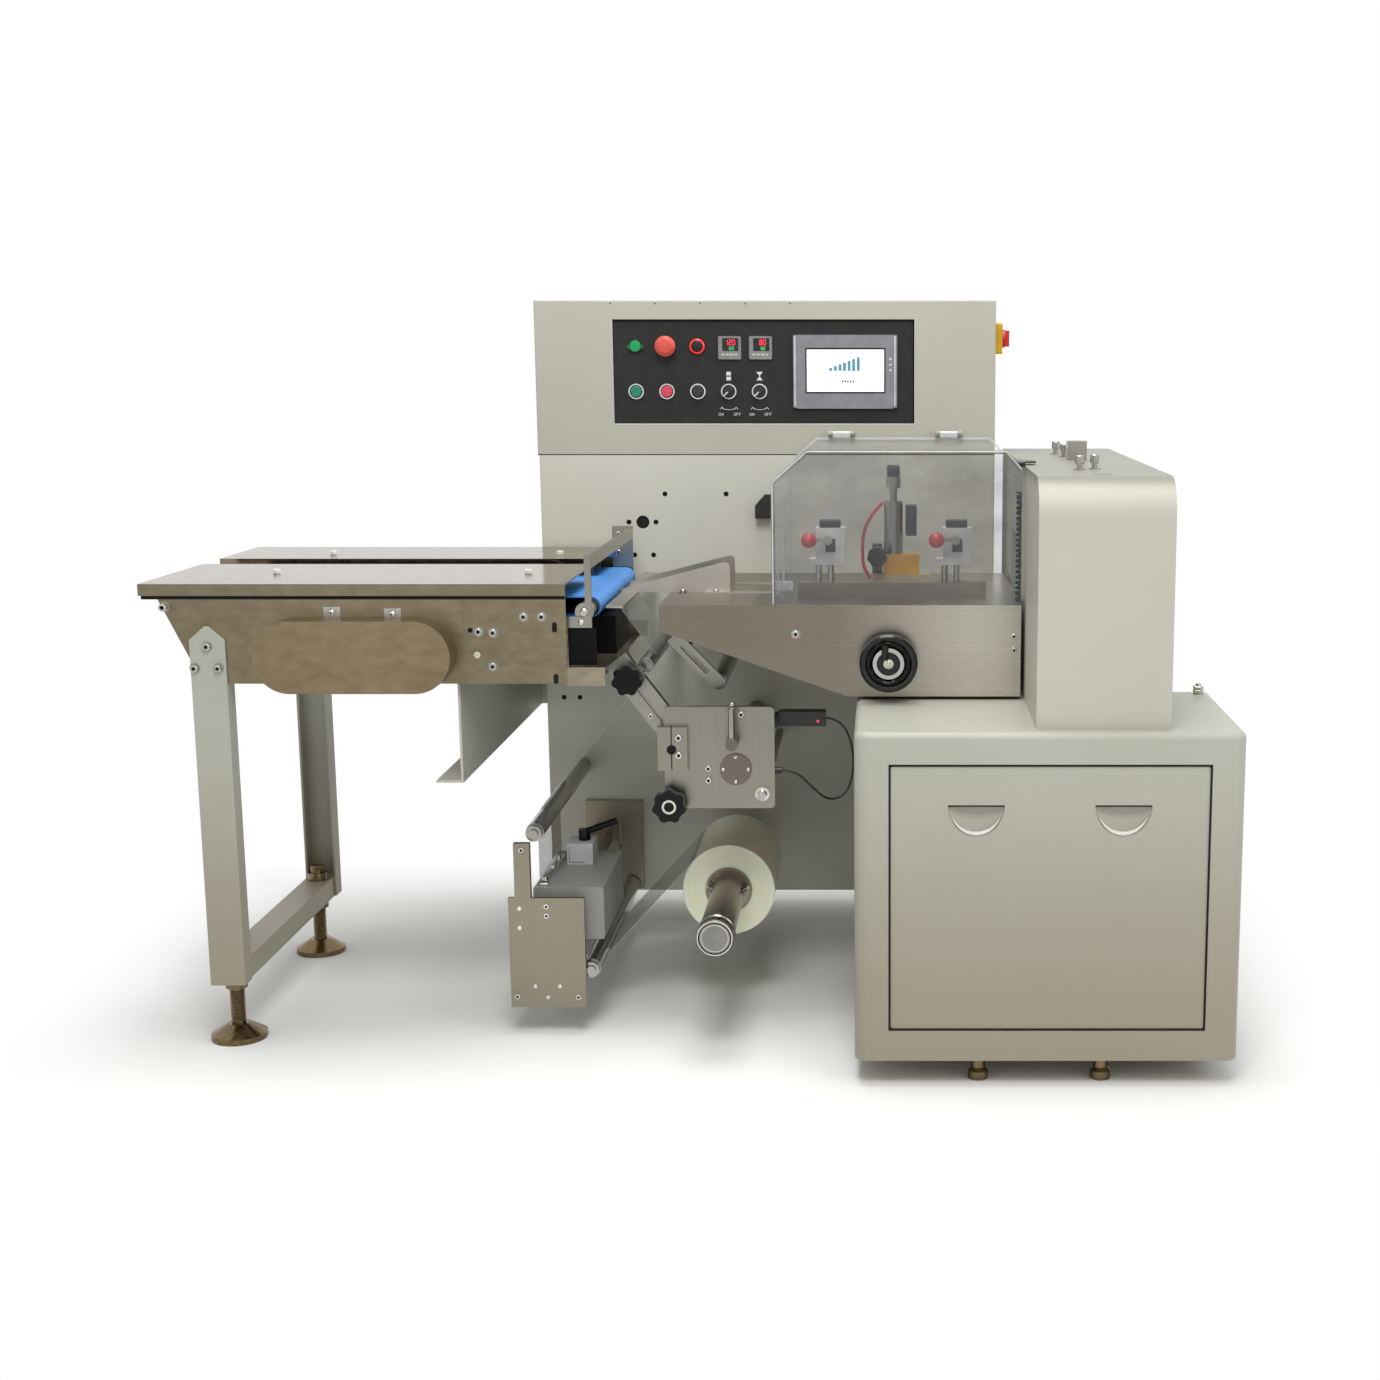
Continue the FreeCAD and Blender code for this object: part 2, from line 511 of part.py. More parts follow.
controllers = []
for column in (3, 4):
    left = f"{button_x(column)} + controller_shift - controller_side / 2"
    case = block("controller_case", (left, f"{left} + controller_side"),
                 ("panel_front - controller_proud", "panel_front"),
                 ("top_row - controller_drop - controller_side / 2", "top_row - controller_drop + controller_side / 2"))
    controllers.append(rounded("controller", case, "controller_corner", lambda middle, way: abs(way.y) > 0.9))
parts.append(gather("temperature_controllers", *controllers))

for label, column, row in (("mark_button", 0, "top_row"), ("start_button", 0, "low_row"),
                           ("stop_button", 1, "low_row"), ("jog_button", 2, "low_row")):
    depth = "bezel_height + cap_proud - button_travel - seat_gap"
    parts.append(turned(label, [("0", "0"), ("cap_radius - 1", "0"), ("cap_radius", "1"), ("cap_radius", depth),
                                ("0", depth)],
                        (button_x(column), "panel_front - bezel_height - cap_proud", row)))

stem = "mushroom_height + mushroom_lift - stop_travel - seat_gap"
parts.append(turned("emergency_stop", [
    ("0", "0"), ("mushroom_radius - 7", "1"), ("mushroom_radius", "5"), ("mushroom_radius", "8"),
    ("mushroom_radius - 4", "mushroom_height"), ("cap_radius", "mushroom_height"), ("cap_radius", stem),
    ("0", stem)], (button_x(1), "panel_front - mushroom_lift - mushroom_height", "top_row")))

for label, column in (("left_selector", 3), ("right_selector", 4)):
    thick = "bezel_height + cap_proud - seat_gap"
    knob = fuse(label, rod("selector_disc", "cap_radius", ("0", "0", "0"), thick),
                block("selector_grip", ("-selector_bar / 2", "selector_bar / 2"), ("-selector_height", "0"),
                      ("-selector_width / 2", "selector_width / 2")))
    parts.append(place(knob, (button_x(column), "panel_front - bezel_height - cap_proud", "low_row"),
                       Rotation(Vector(0, 1, 0), -45)))

switch_z = "machine_height - switch_drop - switch_plate / 2"
switch_y = "cabinet_front + switch_setback"
parts.append(rounded("main_switch", block("switch_case", ("cabinet_right", "cabinet_right + switch_body"),
                                          (f"{switch_y} - switch_plate / 2", f"{switch_y} + switch_plate / 2"),
                                          (f"{switch_z} - switch_plate / 2", f"{switch_z} + switch_plate / 2")),
                     "fold_radius", lambda middle, way: abs(way.x) > 0.9))
grip = fuse("main_switch_knob", rod("grip_disc", "grip_radius", ("0", "0", "0"), "grip_height", "X"),
            block("grip_bar", ("grip_height", "grip_height + grip_lift"), ("-grip_width / 2", "grip_width / 2"),
                  ("-grip_bar / 2", "grip_bar / 2")))
parts.append(place(grip, ("cabinet_right + switch_body + seat_gap", switch_y, switch_z)))

# ---- Centre frame behind the base, that carries the bed and the back of the jaw housing ---------

parts.append(fuse("centre_frame",
                  block("frame_block", ("bed_left + frame_from_left", "jaw_right"),
                        ("base_back + frame_gap", "cabinet_front"), ("cabinet_clearance", "base_top")),
                  block("bed_pad", ("bed_left + frame_from_left", "bed_right"),
                        ("base_back + frame_gap", "cabinet_front"), ("base_top", "bed_bottom"))))

# ---- Base cabinet with rounded edges and a lift-off front panel ---------------------------------

body = rounded("base_shell", block("base_sheet", ("base_left", "right_end"), ("front_end", "base_back"),
                                   ("base_clearance", "base_top")),
               "base_corner", lambda middle, way: abs(way.z) > 0.9 and middle.y < value("front_end") + 1)
body = rounded("base_soft", body, "base_top_corner",
               lambda middle, way: middle.z > value("base_top") - 1 and middle.y < value("base_back") - 1)
opening = block("panel_opening", ("cover_left - cover_gap", "cover_right + cover_gap"),
                ("front_end", "cover_front + cover_plate"), ("cover_bottom - cover_gap", "cover_top + cover_gap"))
parts.append(cut("base_cabinet", body, opening))


def finger_pull(side):
    """A half-moon hollow with a flat top edge, to lift the panel by."""
    scoop = doc.addObject("Part::Ellipsoid", "finger_pull")
    bind(scoop, "Radius1", "pull_drop")
    bind(scoop, "Radius2", "pull_width / 2")
    bind(scoop, "Radius3", "pull_depth")
    scoop.Angle1 = -90
    scoop.Angle2 = 0
    return place(scoop, (f"(cover_left + cover_right) / 2 + {side} * pull_spacing / 2", "cover_front",
                         "cover_top - pull_below"))


sheet_outline = [("cover_left", "cover_bottom"), ("cover_right", "cover_bottom"), ("cover_right", "cover_top"),
                 ("cover_left", "cover_top")]
panel = plate("cover_sheet", "XZ", sheet_outline, ("cover_front", "cover_front + cover_plate"),
              rounds=[("cover_corner", (0, 1, 2, 3))])
parts.append(cut("base_panel", panel, finger_pull(-1), finger_pull(1)))

# ---- Levelling feet under the cabinets and under the infeed leg ---------------------------------


def small_foot(x, y, top):
    return turned("small_foot", [("0", "0"), ("foot_radius", "0"), ("foot_radius", "foot_collar"),
                                 ("screw_radius", "foot_collar + 6"), ("screw_radius", top), ("0", top)],
                  (x, y, "0"), "Z")


def pad_foot(x, y, top):
    """A wide pad under a threaded rod, locked by a nut below what it carries."""
    return turned("pad_foot", [
        ("0", "0"), ("pad_radius", "0"), ("pad_radius", "pad_height / 2"), ("nut_radius", "pad_height + pad_cone"),
        ("screw_radius", "pad_height + pad_cone"), ("screw_radius", f"({top}) - nut_height"),
        ("nut_radius", f"({top}) - nut_height"), ("nut_radius", top), ("0", top)], (x, y, "0"), "Z")


feet = [small_foot(f"base_left + {x}", y, "base_clearance")
        for x in ("base_foot_inset", "base_foot_inset + base_foot_spacing")
        for y in ("front_end + foot_inset", "base_back - foot_inset")]
feet += [small_foot(x, y, "cabinet_clearance")
         for x in ("cabinet_left + rear_foot_inset", "cabinet_right - rear_foot_inset")
         for y in ("cabinet_front + rear_foot_inset", "back_end - rear_foot_inset")]
front_foot = "leg_front + leg_foot_inset"
back_foot = "leg_back - leg_back_foot_inset"
feet += [pad_foot("leg_middle", y, "leg_bottom") for y in (front_foot, back_foot)]
feet.append(turned("rod_end", [("0", "0"), ("nut_radius", "0"), ("nut_radius", "nut_height"),
                               ("screw_radius", "nut_height"), ("screw_radius", "nut_height + screw_rise"),
                               ("0", "nut_height + screw_rise")], ("leg_middle", back_foot, "beam_top"), "Z"))
parts.append(gather("levelling_feet", *feet))

# ---- End-seal housing, with two crimping jaws that turn against each other ----------------------

profile = [("jaw_front", "base_top"), ("jaw_back", "base_top"), ("jaw_back", "jaw_top"), ("jaw_front", "jaw_top")]
shell = plate("jaw_shell", "YZ", profile, ("jaw_left", "jaw_right"), rounds=[("jaw_corner", (3,))])
upper_z = "mouth_middle + jaw_reach + jaw_face_gap / 2"
lower_z = "mouth_middle - jaw_reach - jaw_face_gap / 2"
room = block("jaw_room", ("jaw_left + jaw_wall", "jaw_right - jaw_wall"), ("line_y - jaw_room / 2", "line_y + jaw_room / 2"),
             (f"{lower_z} - jaw_reach - sweep_gap", f"{upper_z} + jaw_reach + sweep_gap"))
mouth = block("jaw_mouth", ("jaw_left", "jaw_right"), ("line_y - mouth_width / 2", "line_y + mouth_width / 2"),
              ("mouth_bottom", "mouth_top"))
bores = [rod("journal_bore", "journal_radius + seat_gap", ("jaw_middle", "line_y - jaw_room / 2 - journal_length", z),
             "jaw_room + 2 * journal_length") for z in (upper_z, lower_z)]
slot = obround("top_slot", ("0", "0"), ("top_slot_length", "0"), "top_slot_radius", ("0", "tapping_depth"))
place(slot, ("jaw_middle - top_slot_length / 2", "jaw_front + top_slot_inset", "jaw_top - tapping_depth"),
      Rotation(Vector(1, 0, 0), 90))
housing = cut("jaw_cover", shell, room, mouth, slot, *bores)
TOP_POSTS = ((90, 734), (96, 624), (84, 215), (112, 243))
posts = [turned("top_post", [
    ("0", "0"), ("post_radius + 4", "0"), ("post_radius + 4", "2"), ("post_radius - 1", "2"),
    ("post_radius - 1", "top_post_neck"), ("post_radius + 1", "top_post_neck"),
    ("post_radius + 2", "top_post_neck + 1"), ("post_radius + 2", "top_post_height - 1"),
    ("post_radius + 1", "top_post_height"), ("0", "top_post_height")],
    (f"jaw_left + {x}", f"jaw_front + {y}", "jaw_top"), "Z") for x, y in TOP_POSTS]
lug = block("top_block", ("jaw_middle - top_block / 2", "jaw_middle + top_block / 2"),
            ("line_y - top_block / 2", "line_y + top_block / 2"), ("jaw_top", "jaw_top + top_block"))
parts.append(fuse("jaw_housing", housing, lug, *posts))


def crimper(label, z):
    """A shaft with one crimping bar, whose crowned face stays on a circle about the shaft."""
    shaft = rod(label + "_shaft", "jaw_shaft", ("0", "-jaw_room / 2 + 1", "0"), "jaw_room - 2")
    journal = rod(label + "_journal", "journal_radius", ("0", "-jaw_room / 2 - journal_length + 1", "0"),
                  "jaw_room + 2 * journal_length - 2")
    bar = block(label + "_bar", ("0", "jaw_reach + 5"), ("-jaw_bar_length / 2", "jaw_bar_length / 2"),
                ("-jaw_bar_width / 2", "jaw_bar_width / 2"))
    sweep = rod(label + "_sweep", "jaw_reach", ("0", "-jaw_bar_length / 2", "0"), "jaw_bar_length")
    crown = doc.addObject("Part::Common", label + "_crown")
    crown.Base = bar
    crown.Tool = sweep
    return place(fuse(label, shaft, journal, crown), ("jaw_middle", "line_y", z))


parts += [crimper("upper_jaw", upper_z), crimper("lower_jaw", lower_z)]

# ---- Sealing bed: a folded steel trough with a plate on top and a hand wheel in front -----------

bed_outline = [("bed_left", "bed_top - bed_nose"), ("bed_right - bed_flat", "bed_bottom"), ("bed_right", "bed_bottom"),
               ("bed_right", "bed_top - bed_plate"), ("bed_left", "bed_top - bed_plate")]
trough = plate("bed_trough", "XZ", bed_outline, ("bed_front", "cabinet_front"))
top = block("bed_top_plate", ("bed_left", "bed_right"), ("bed_front", "bed_back"), ("bed_top - bed_plate", "bed_top"))
collar = rod("wheel_collar", "wheel_collar_radius", ("wheel_x", "wheel_back + seat_gap", "wheel_z"),
             "wheel_collar - seat_gap")
parts.append(fuse("sealing_bed", trough, top, collar))

rim = turned("wheel_rim", [
    ("0", "4"), ("wheel_radius * 0.55", "4"), ("wheel_radius * 0.6", "8"), ("wheel_radius * 0.76", "8"),
    ("wheel_radius * 0.8", "1"), ("wheel_radius * 0.86", "0"), ("wheel_radius * 0.94", "0"), ("wheel_radius", "4"),
    ("wheel_radius", "wheel_width - 3"), ("wheel_radius - 3", "wheel_width"), ("0", "wheel_width")],
    ("0", "0", "0"))
crank = rod("wheel_crank", "crank_radius", ("-crank_radius", "-crank_radius", "crank_inset"), "crank_length", "Z")
crank_foot = rod("crank_foot", "crank_radius - 1", ("-crank_radius", "-crank_radius", "crank_inset + crank_length - 6"),
                 "crank_radius + 8")
parts.append(place(fuse("hand_wheel", rim, crank, crank_foot), ("wheel_x", "wheel_front", "wheel_z")))

# ---- Clear guard over the bed, hinged at its top back edge --------------------------------------

left_shoulder = "guard_top - guard_bevel_drop"
right_shoulder = "guard_top - guard_right_drop"
face = [("guard_left", "guard_bottom"), ("guard_right", "guard_bottom"), ("guard_right", right_shoulder),
        ("guard_right - guard_bevel_right", "guard_top"), ("guard_left + guard_bevel_left", "guard_top"),
        ("guard_left", left_shoulder)]
parts.append(plate("guard_front", "XZ", face, ("bed_front", "bed_front + guard_sheet")))
inside = ("bed_front + guard_sheet", "guard_back")
lid = block("guard_lid", ("guard_left + guard_bevel_left", "guard_right - guard_bevel_right"), inside,
            ("guard_top - guard_sheet", "guard_top"))
left_bevel = plate("guard_left_bevel", "XZ", [
    ("guard_left", f"{left_shoulder} - bevel_rise"), ("guard_left + guard_bevel_left", "guard_top - bevel_rise"),
    ("guard_left + guard_bevel_left", "guard_top"), ("guard_left", left_shoulder)], inside)
right_bevel = plate("guard_right_bevel", "XZ", [
    ("guard_right - guard_bevel_right", "guard_top - bevel_rise"), ("guard_right", f"{right_shoulder} - bevel_rise"),
    ("guard_right", right_shoulder), ("guard_right - guard_bevel_right", "guard_top")], inside)
arch = [(inside[0], "guard_bottom"), ("line_y - passage_width / 2", "guard_bottom"),
        ("line_y - passage_width / 2", "guard_bottom + passage_height"),
        ("line_y + passage_width / 2", "guard_bottom + passage_height"),
        ("line_y + passage_width / 2", "guard_bottom"), (inside[1], "guard_bottom"),
        (inside[1], f"{left_shoulder} - bevel_rise"), (inside[0], f"{left_shoulder} - bevel_rise")]
wall = plate("guard_wall", "YZ", arch, ("guard_left", "guard_left + guard_sheet"))
hinge_y = "cabinet_front - hinge_setback"
hinge_z = "guard_top + hinge_rise"
knuckles, brackets = [], []
for middle in ("guard_left + hinge_inset", "guard_right - hinge_inset"):
    half = "knuckle_length / 2"
    barrel = rod("knuckle", "knuckle_radius", (f"{middle} - {half}", hinge_y, hinge_z), "knuckle_length", "X")
    foot = block("knuckle_foot", (f"{middle} - {half}", f"{middle} + {half}"),
                 (f"{hinge_y} - knuckle_radius", f"{hinge_y} + knuckle_radius"), ("guard_top", hinge_z))
    bore = rod("knuckle_bore", "pin_radius + seat_gap", (f"{middle} - {half}", hinge_y, hinge_z), "knuckle_length", "X")
    knuckles.append(cut("hinge_knuckle", fuse("knuckle_body", barrel, foot), bore))
    reach = f"{half} + lug_gap + lug_thickness"
    brackets.append(rod("hinge_pin", "pin_radius", (f"{middle} - ({reach})", hinge_y, hinge_z), f"2 * ({reach})", "X"))
    for side in (f"{middle} - ({reach})", f"{middle} + {half} + lug_gap"):
        brackets.append(rod("hinge_lug", "pin_radius + 3", (side, hinge_y, hinge_z), "lug_thickness", "X"))
        brackets.append(block("hinge_arm", (side, f"{side} + lug_thickness"), (hinge_y, "cabinet_front"),
                              (f"{hinge_z} - pin_radius - 3", f"{hinge_z} + pin_radius + 3")))
parts.append(fuse("guard_canopy", lid, left_bevel, right_bevel, wall, *knuckles))
interlock = plate("interlock_case", "XZ", [
    ("interlock_x", "interlock_z"), ("interlock_x + interlock_width", "interlock_z"),
    ("interlock_x + interlock_width", "interlock_z + interlock_height"),
    ("interlock_x + interlock_width * 0.6", "interlock_z + interlock_height"),
    ("interlock_x", "interlock_z + interlock_height * 0.55")], ("cabinet_front - interlock_depth", "cabinet_front"))
parts.append(fuse("guard_mounts", interlock, *brackets))

# ---- Long-seal station inside the guard: two clamps on posts, and a heater between them ---------

station = ("station_y - upright_depth / 2", "station_y + upright_depth / 2")
pieces = [block("seal_rail", ("station_left", "station_right"), station, ("bed_top", "bed_top + rail_height"))]
ledge_z = "bed_top + rail_height + post_height"
for left in ("bracket_left_x", "bracket_right_x"):
    for shift in ("post_from_left", "post_from_left + post_spacing"):
        pieces.append(rod("seal_post", "post_radius", (f"{left} + {shift}", "station_y", "bed_top + rail_height"),
                          "post_height", "Z"))
    pieces.append(block("seal_ledge", (left, f"{left} + block_wide"), station, (ledge_z, f"{ledge_z} + ledge_height")))
    pieces.append(block("seal_clamp", (f"{left} + block_inset", f"{left} + block_wide"), station,
                        (f"{ledge_z} + ledge_height", f"{ledge_z} + ledge_height + block_tall")))
plinth_top = "bed_top + rail_height + plinth_height"
pieces.append(block("seal_plinth", ("yellow_left - plinth_margin", "yellow_left + yellow_length + plinth_margin"),
                    station, ("bed_top + rail_height", plinth_top)))
pieces.append(block("knob_bracket", ("yellow_left - plinth_margin", "yellow_left - 2"),
                    ("station_y", "station_y + upright_depth / 2"), (plinth_top, "knob_bracket_top")))
parts.append(fuse("seal_frame", *pieces))
yellow = block("yellow_block", ("yellow_left", "yellow_left + yellow_length"), station,
               (plinth_top, f"{plinth_top} + yellow_height"))
column = turned("column", [("0", "0"), ("column_radius", "0"), ("column_radius", "column_height"),
                           ("column_rod", "column_height"), ("column_rod", "column_height + column_rod_length"),
                           ("column_radius - 4", "column_height + column_rod_length"),
                           ("column_radius - 4", "column_height + column_rod_length + 20"),
                           ("0", "column_height + column_rod_length + 20")],
                ("column_x", "station_y", f"{plinth_top} + yellow_height"), "Z")
parts.append(fuse("seal_heater", yellow, column))
parts.append(star_knob("seal_knob", "small_knob", (
    "small_knob_x", "station_y - upright_depth / 2 - knob_height - small_knob_stem", "small_knob_z"),
    "upright_depth / 2 + small_knob_stem - seat_gap"))
BALL = [("0", "-ball_radius")] + [
    (f"ball_radius * {math.cos(math.radians(turn)):.6f}", f"ball_radius * {math.sin(math.radians(turn)):.6f}")
    for turn in range(-75, 90, 15)] + [("0", "ball_radius")]
for label, left in (("seal_lever_left", "bracket_left_x"), ("seal_lever_right", "bracket_right_x")):
    lever = fuse(label, rod("lever_pivot", "pivot_radius", ("0", "-ball_arm", "0"), "ball_arm + pivot_length"),
                 block("lever_arm", ("-lever_arm", "0"), ("-ball_arm", "ball_arm"), ("-ball_arm", "ball_arm")),
                 turned("lever_ball", BALL, ("-lever_arm", "0", "0")))
    parts.append(place(lever, (f"{left} + lever_arm", "station_y - upright_depth / 2 - pivot_length - seat_gap",
                               f"{ledge_z} + ledge_height + lever_rise")))
parts.append(cord("seal_hose", "hose_radius", [
    ("column_x - column_radius - 2.3", "station_y", "bed_top + 165"), ("column_x - 37", "station_y - 2", "bed_top + 148"),
    ("column_x - 54", "station_y - 4", "bed_top + 115"), ("column_x - 56", "station_y - 6", "bed_top + 78"),
    ("column_x - 54", "station_y - 10", "bed_top + 46"),
    ("yellow_left - plinth_margin - 2.4", "station_y - 12", "bed_top + rail_height + plinth_height / 2")]))

# ---- Infeed conveyor: two folded plates with a slot between, on side panels ---------------------


def infeed_plate(label, front, back):
    """A flat plate with its four edges folded down."""
    across = ("left_end", "infeed_right")
    under = ("infeed_top - lip_height", "infeed_top - sheet")
    return fuse(label, block("plate_top", across, (front, back), ("infeed_top - sheet", "infeed_top")),
                block("plate_fold", across, (front, f"{front} + sheet"), under),
                block("plate_fold", across, (f"{back} - sheet", back), under),
                block("plate_fold", (across[0], f"{across[0]} + sheet"), (front, back), under))


parts.append(infeed_plate("infeed_plate_front", "infeed_front", "line_y - slot_width / 2"))
parts.append(infeed_plate("infeed_plate_back", "line_y + slot_width / 2", "infeed_back"))
side_outline = [("left_end + side_end", "side_top"), ("left_end + side_end + side_slope", "side_bottom"),
                ("infeed_right", "side_bottom"), ("infeed_right", "side_top")]
chain_z = "infeed_top - chain_drop - chain_height - sprocket_radius"
chain_ends = [("left_end + sprocket_inset", chain_z), ("infeed_right - sprocket_inset", chain_z)]
between = ("side_front + sheet", "side_back - sheet")
pieces = [plate("side_panel", "XZ", side_outline, ("side_front", "side_front + sheet")),
          plate("side_panel", "XZ", side_outline, ("side_back - sheet", "side_back"))]
for x, z in chain_ends:
    pieces.append(rod("sprocket_shaft", "tie_radius", (x, between[0], z), f"({between[1]}) - ({between[0]})"))
    pieces.append(rod("sprocket", "sprocket_radius - seat_gap", (x, "line_y - chain_width / 2", z), "chain_width"))
for share in (1, 2):
    pieces.append(rod("tie_rod", "tie_radius", (f"left_end + {share} * infeed_length / 3", between[0],
                                                "side_bottom + tie_rise"), f"({between[1]}) - ({between[0]})"))
parts.append(fuse("infeed_frame", *pieces))
chain_span = ("line_y - chain_width / 2", "line_y + chain_width / 2")
parts.append(cut("infeed_chain", obround("chain_outside", *chain_ends, "sprocket_radius + chain_height", chain_span),
                 obround("chain_inside", *chain_ends, "sprocket_radius", chain_span)))
cover_z = "infeed_top - cover_centre_drop"
parts.append(obround("drive_cover", ("left_end + cover_from_left + cover_radius", cover_z),
                     ("left_end + cover_from_left + cover_length - cover_radius", cover_z), "cover_radius",
                     ("side_front - cover_depth", "side_front")))

# ---- Leg under the infeed: two channel posts on a cross beam ------------------------------------

tab = [("leg_left", "leg_bottom"), ("leg_right", "leg_bottom"), ("leg_right", "side_bottom + leg_shoulder"),
       ("leg_middle", "side_bottom + leg_shoulder + tab_point"), ("leg_left", "side_bottom + leg_shoulder")]
pieces = []
for web, flange in ((("leg_front", "leg_front + leg_sheet"), ("leg_front + leg_sheet", "leg_front + leg_depth")),
                    (("leg_back - leg_sheet", "leg_back"), ("leg_back - leg_depth", "leg_back - leg_sheet"))):
    pieces.append(plate("leg_web", "XZ", tab, web, rounds=[("tab_round", (3,))]))
    for left in ("leg_left", "leg_right - leg_sheet"):
        pieces.append(block("leg_flange", (left, f"{left} + leg_sheet"), flange, ("leg_bottom", "side_bottom")))
pieces.append(block("leg_beam", ("leg_left + leg_sheet", "leg_right - leg_sheet"),
                    ("leg_front + leg_sheet", "leg_back - leg_sheet"), ("leg_bottom", "beam_top")))
parts.append(fuse("infeed_leg", *pieces))

# ---- Folded bracket that ties the infeed to the rear cabinet ------------------------------------

web = ("bracket_right - leg_sheet", "bracket_right")
parts.append(fuse("side_bracket",
                  block("bracket_web", web, ("bracket_front", "bracket_back"), ("bracket_bottom", "side_bottom")),
                  block("bracket_foot", ("bracket_right - bracket_flange", "bracket_right - leg_sheet"),
                        ("bracket_front", "bracket_back"), ("bracket_bottom", "bracket_bottom + leg_sheet")),
                  block("bracket_return", ("bracket_right", "cabinet_left"),
                        ("bracket_back - leg_sheet", "bracket_back"), ("bracket_bottom", "side_bottom"))))

# ---- Transfer belt, its frame, and the film mark sensor's arch ----------------------------------

belt_ends = [("tail_x", "nose_z"), ("nose_x", "nose_z")]
belt_span = ("line_y - belt_front", "line_y + belt_back")
parts.append(cut("transfer_belt", obround("belt_outside", *belt_ends, "nose_radius + belt_thickness", belt_span),
                 obround("belt_inside", *belt_ends, "nose_radius", belt_span)))
arch_front_y = "line_y - arch_front"
arch_back_y = "line_y + arch_back"
pieces = [rod("nose_roller", "nose_radius", ("nose_x", f"{arch_front_y} + arch_band", "nose_z"),
              f"({arch_back_y}) - ({arch_front_y}) - 2 * arch_band"),
          rod("tail_roller", "nose_radius", ("tail_x", belt_span[0], "nose_z"), "belt_front + belt_back"),
          rod("tail_axle", "axle_radius", ("tail_x", between[0], "nose_z"), f"({between[1]}) - ({between[0]})")]
tray_x = ("infeed_right", "infeed_right + tray_reach")
floor_x = ("infeed_right", "infeed_right + tray_floor")
tray_z = ("side_bottom - tray_drop", "side_bottom - tray_drop + tray_height")
pieces += [block("tray_floor", floor_x, ("side_front", "side_back"), (tray_z[0], f"{tray_z[0]} + sheet")),
           block("tray_front", tray_x, ("side_front", "side_front + sheet"), tray_z),
           block("tray_back", tray_x, ("side_back - sheet", "side_back"), tray_z),
           block("belt_skirt", floor_x, (arch_front_y, f"{arch_front_y} + sheet"), (f"{tray_z[0]} + sheet", "skirt_top")),
           block("drive_box", (f"{tray_x[0]} + 1", f"{tray_x[1]} - 1"), ("drive_box_front", "drive_box_front + drive_box_length"),
                 (f"{tray_z[0]} + sheet", "drive_box_top"))]
parts.append(fuse("belt_frame", *pieces))
crown = [(arch_front_y, "arch_foot"), (f"{arch_front_y} + arch_band", "arch_foot"),
         (f"{arch_front_y} + arch_band", "arch_crown - arch_bar"), (arch_back_y, "arch_crown - arch_bar"),
         (arch_back_y, "arch_crown"), (arch_front_y, "arch_crown")]
arch_right = "arch_x + arch_width"
parts.append(fuse("photocell_arch",
                  plate("arch_crown", "YZ", crown, (f"{arch_right} - arch_sheet", arch_right)),
                  block("arch_front_leg", ("arch_x", arch_right), (arch_front_y, f"{arch_front_y} + arch_sheet"),
                        ("arch_foot", "arch_crown")),
                  block("arch_back_leg", (f"{arch_right} - arch_back_leg", arch_right),
                        (f"{arch_back_y} - arch_band", arch_back_y), ("arch_foot", "arch_crown")),
                  block("arch_foot_plate", ("infeed_right", arch_right), (arch_front_y, f"{arch_front_y} + arch_sheet"),
                        ("skirt_top", "skirt_top + arch_foot_height"))))
sensor_right = f"{arch_right} - arch_sheet"
parts.append(block("photocell", (f"{sensor_right} - photocell_depth", sensor_right),
                   ("line_y - photocell_width / 2", "line_y + photocell_width / 2"),
                   ("arch_crown - arch_bar - photocell_drop", "arch_crown - arch_bar - photocell_drop + photocell_height")))

# ---- Film former: two upright cheeks on a lip the film folds over -------------------------------

cheek = [("lip_left", "bed_top"), ("lip_left + former_length", "bed_top"),
         ("lip_left + former_length", "bed_top + former_height"), ("lip_left", "bed_top + former_nose")]
pieces = [block("former_lip", ("lip_left", "lip_left + lip_width"), ("line_y - lip_span / 2", "line_y + lip_span / 2"),
                ("bed_top - lip_drop", "bed_top"))]
for side in (-1, 1):
    face = f"line_y + {side} * former_width / 2"
    pieces.append(plate("former_cheek", "XZ", cheek, (f"{face} - former_sheet / 2", f"{face} + former_sheet / 2"),
                        rounds=[("former_round", (2,))]))
    outer = f"{face} + {side} * (former_flange + former_sheet) / 2"
    pieces.append(block("former_flange", ("former_flange_left", "former_flange_left + former_flange_length"),
                        (f"{outer} - former_flange / 2", f"{outer} + former_flange / 2"),
                        ("bed_top", "bed_top + former_sheet")))
parts.append(fuse("film_former", *pieces))

# ---- Film carriage below the bed: a milled plate, its clamp, shafts and roller arms -------------

right = "carriage_x + carriage_length"
sheet_outline = [("carriage_x", "carriage_bottom"), (right, "carriage_bottom"), (right, "carriage_top"),
                 ("carriage_x", "carriage_top")]
pieces = [plate("carriage_sheet", "XZ", sheet_outline, ("carriage_front", "carriage_back"),
                rounds=[("carriage_corner", (0, 1, 2, 3))])]
clamp_left = "carriage_x - clamp_overhang"
clamp_span = ("carriage_front - clamp_depth", "carriage_front")
clamp_z = ("carriage_top - clamp_top_drop - clamp_height", "carriage_top - clamp_top_drop")
pieces.append(cut("split_clamp", block("clamp_block", (clamp_left, f"{clamp_left} + clamp_width"), clamp_span, clamp_z),
                  block("clamp_slit", (f"{clamp_left} + clamp_width * 0.45", f"{clamp_left} + clamp_width * 0.45 + slit"),
                        clamp_span, clamp_z)))
disc_spot = ("carriage_x + disc_right", "carriage_bottom + disc_rise")
lever_spot = ("carriage_x + lever_right", "carriage_bottom + disc_rise + clamp_width")
stud_spot = ("carriage_x + stud_right", "carriage_bottom + stud_rise")
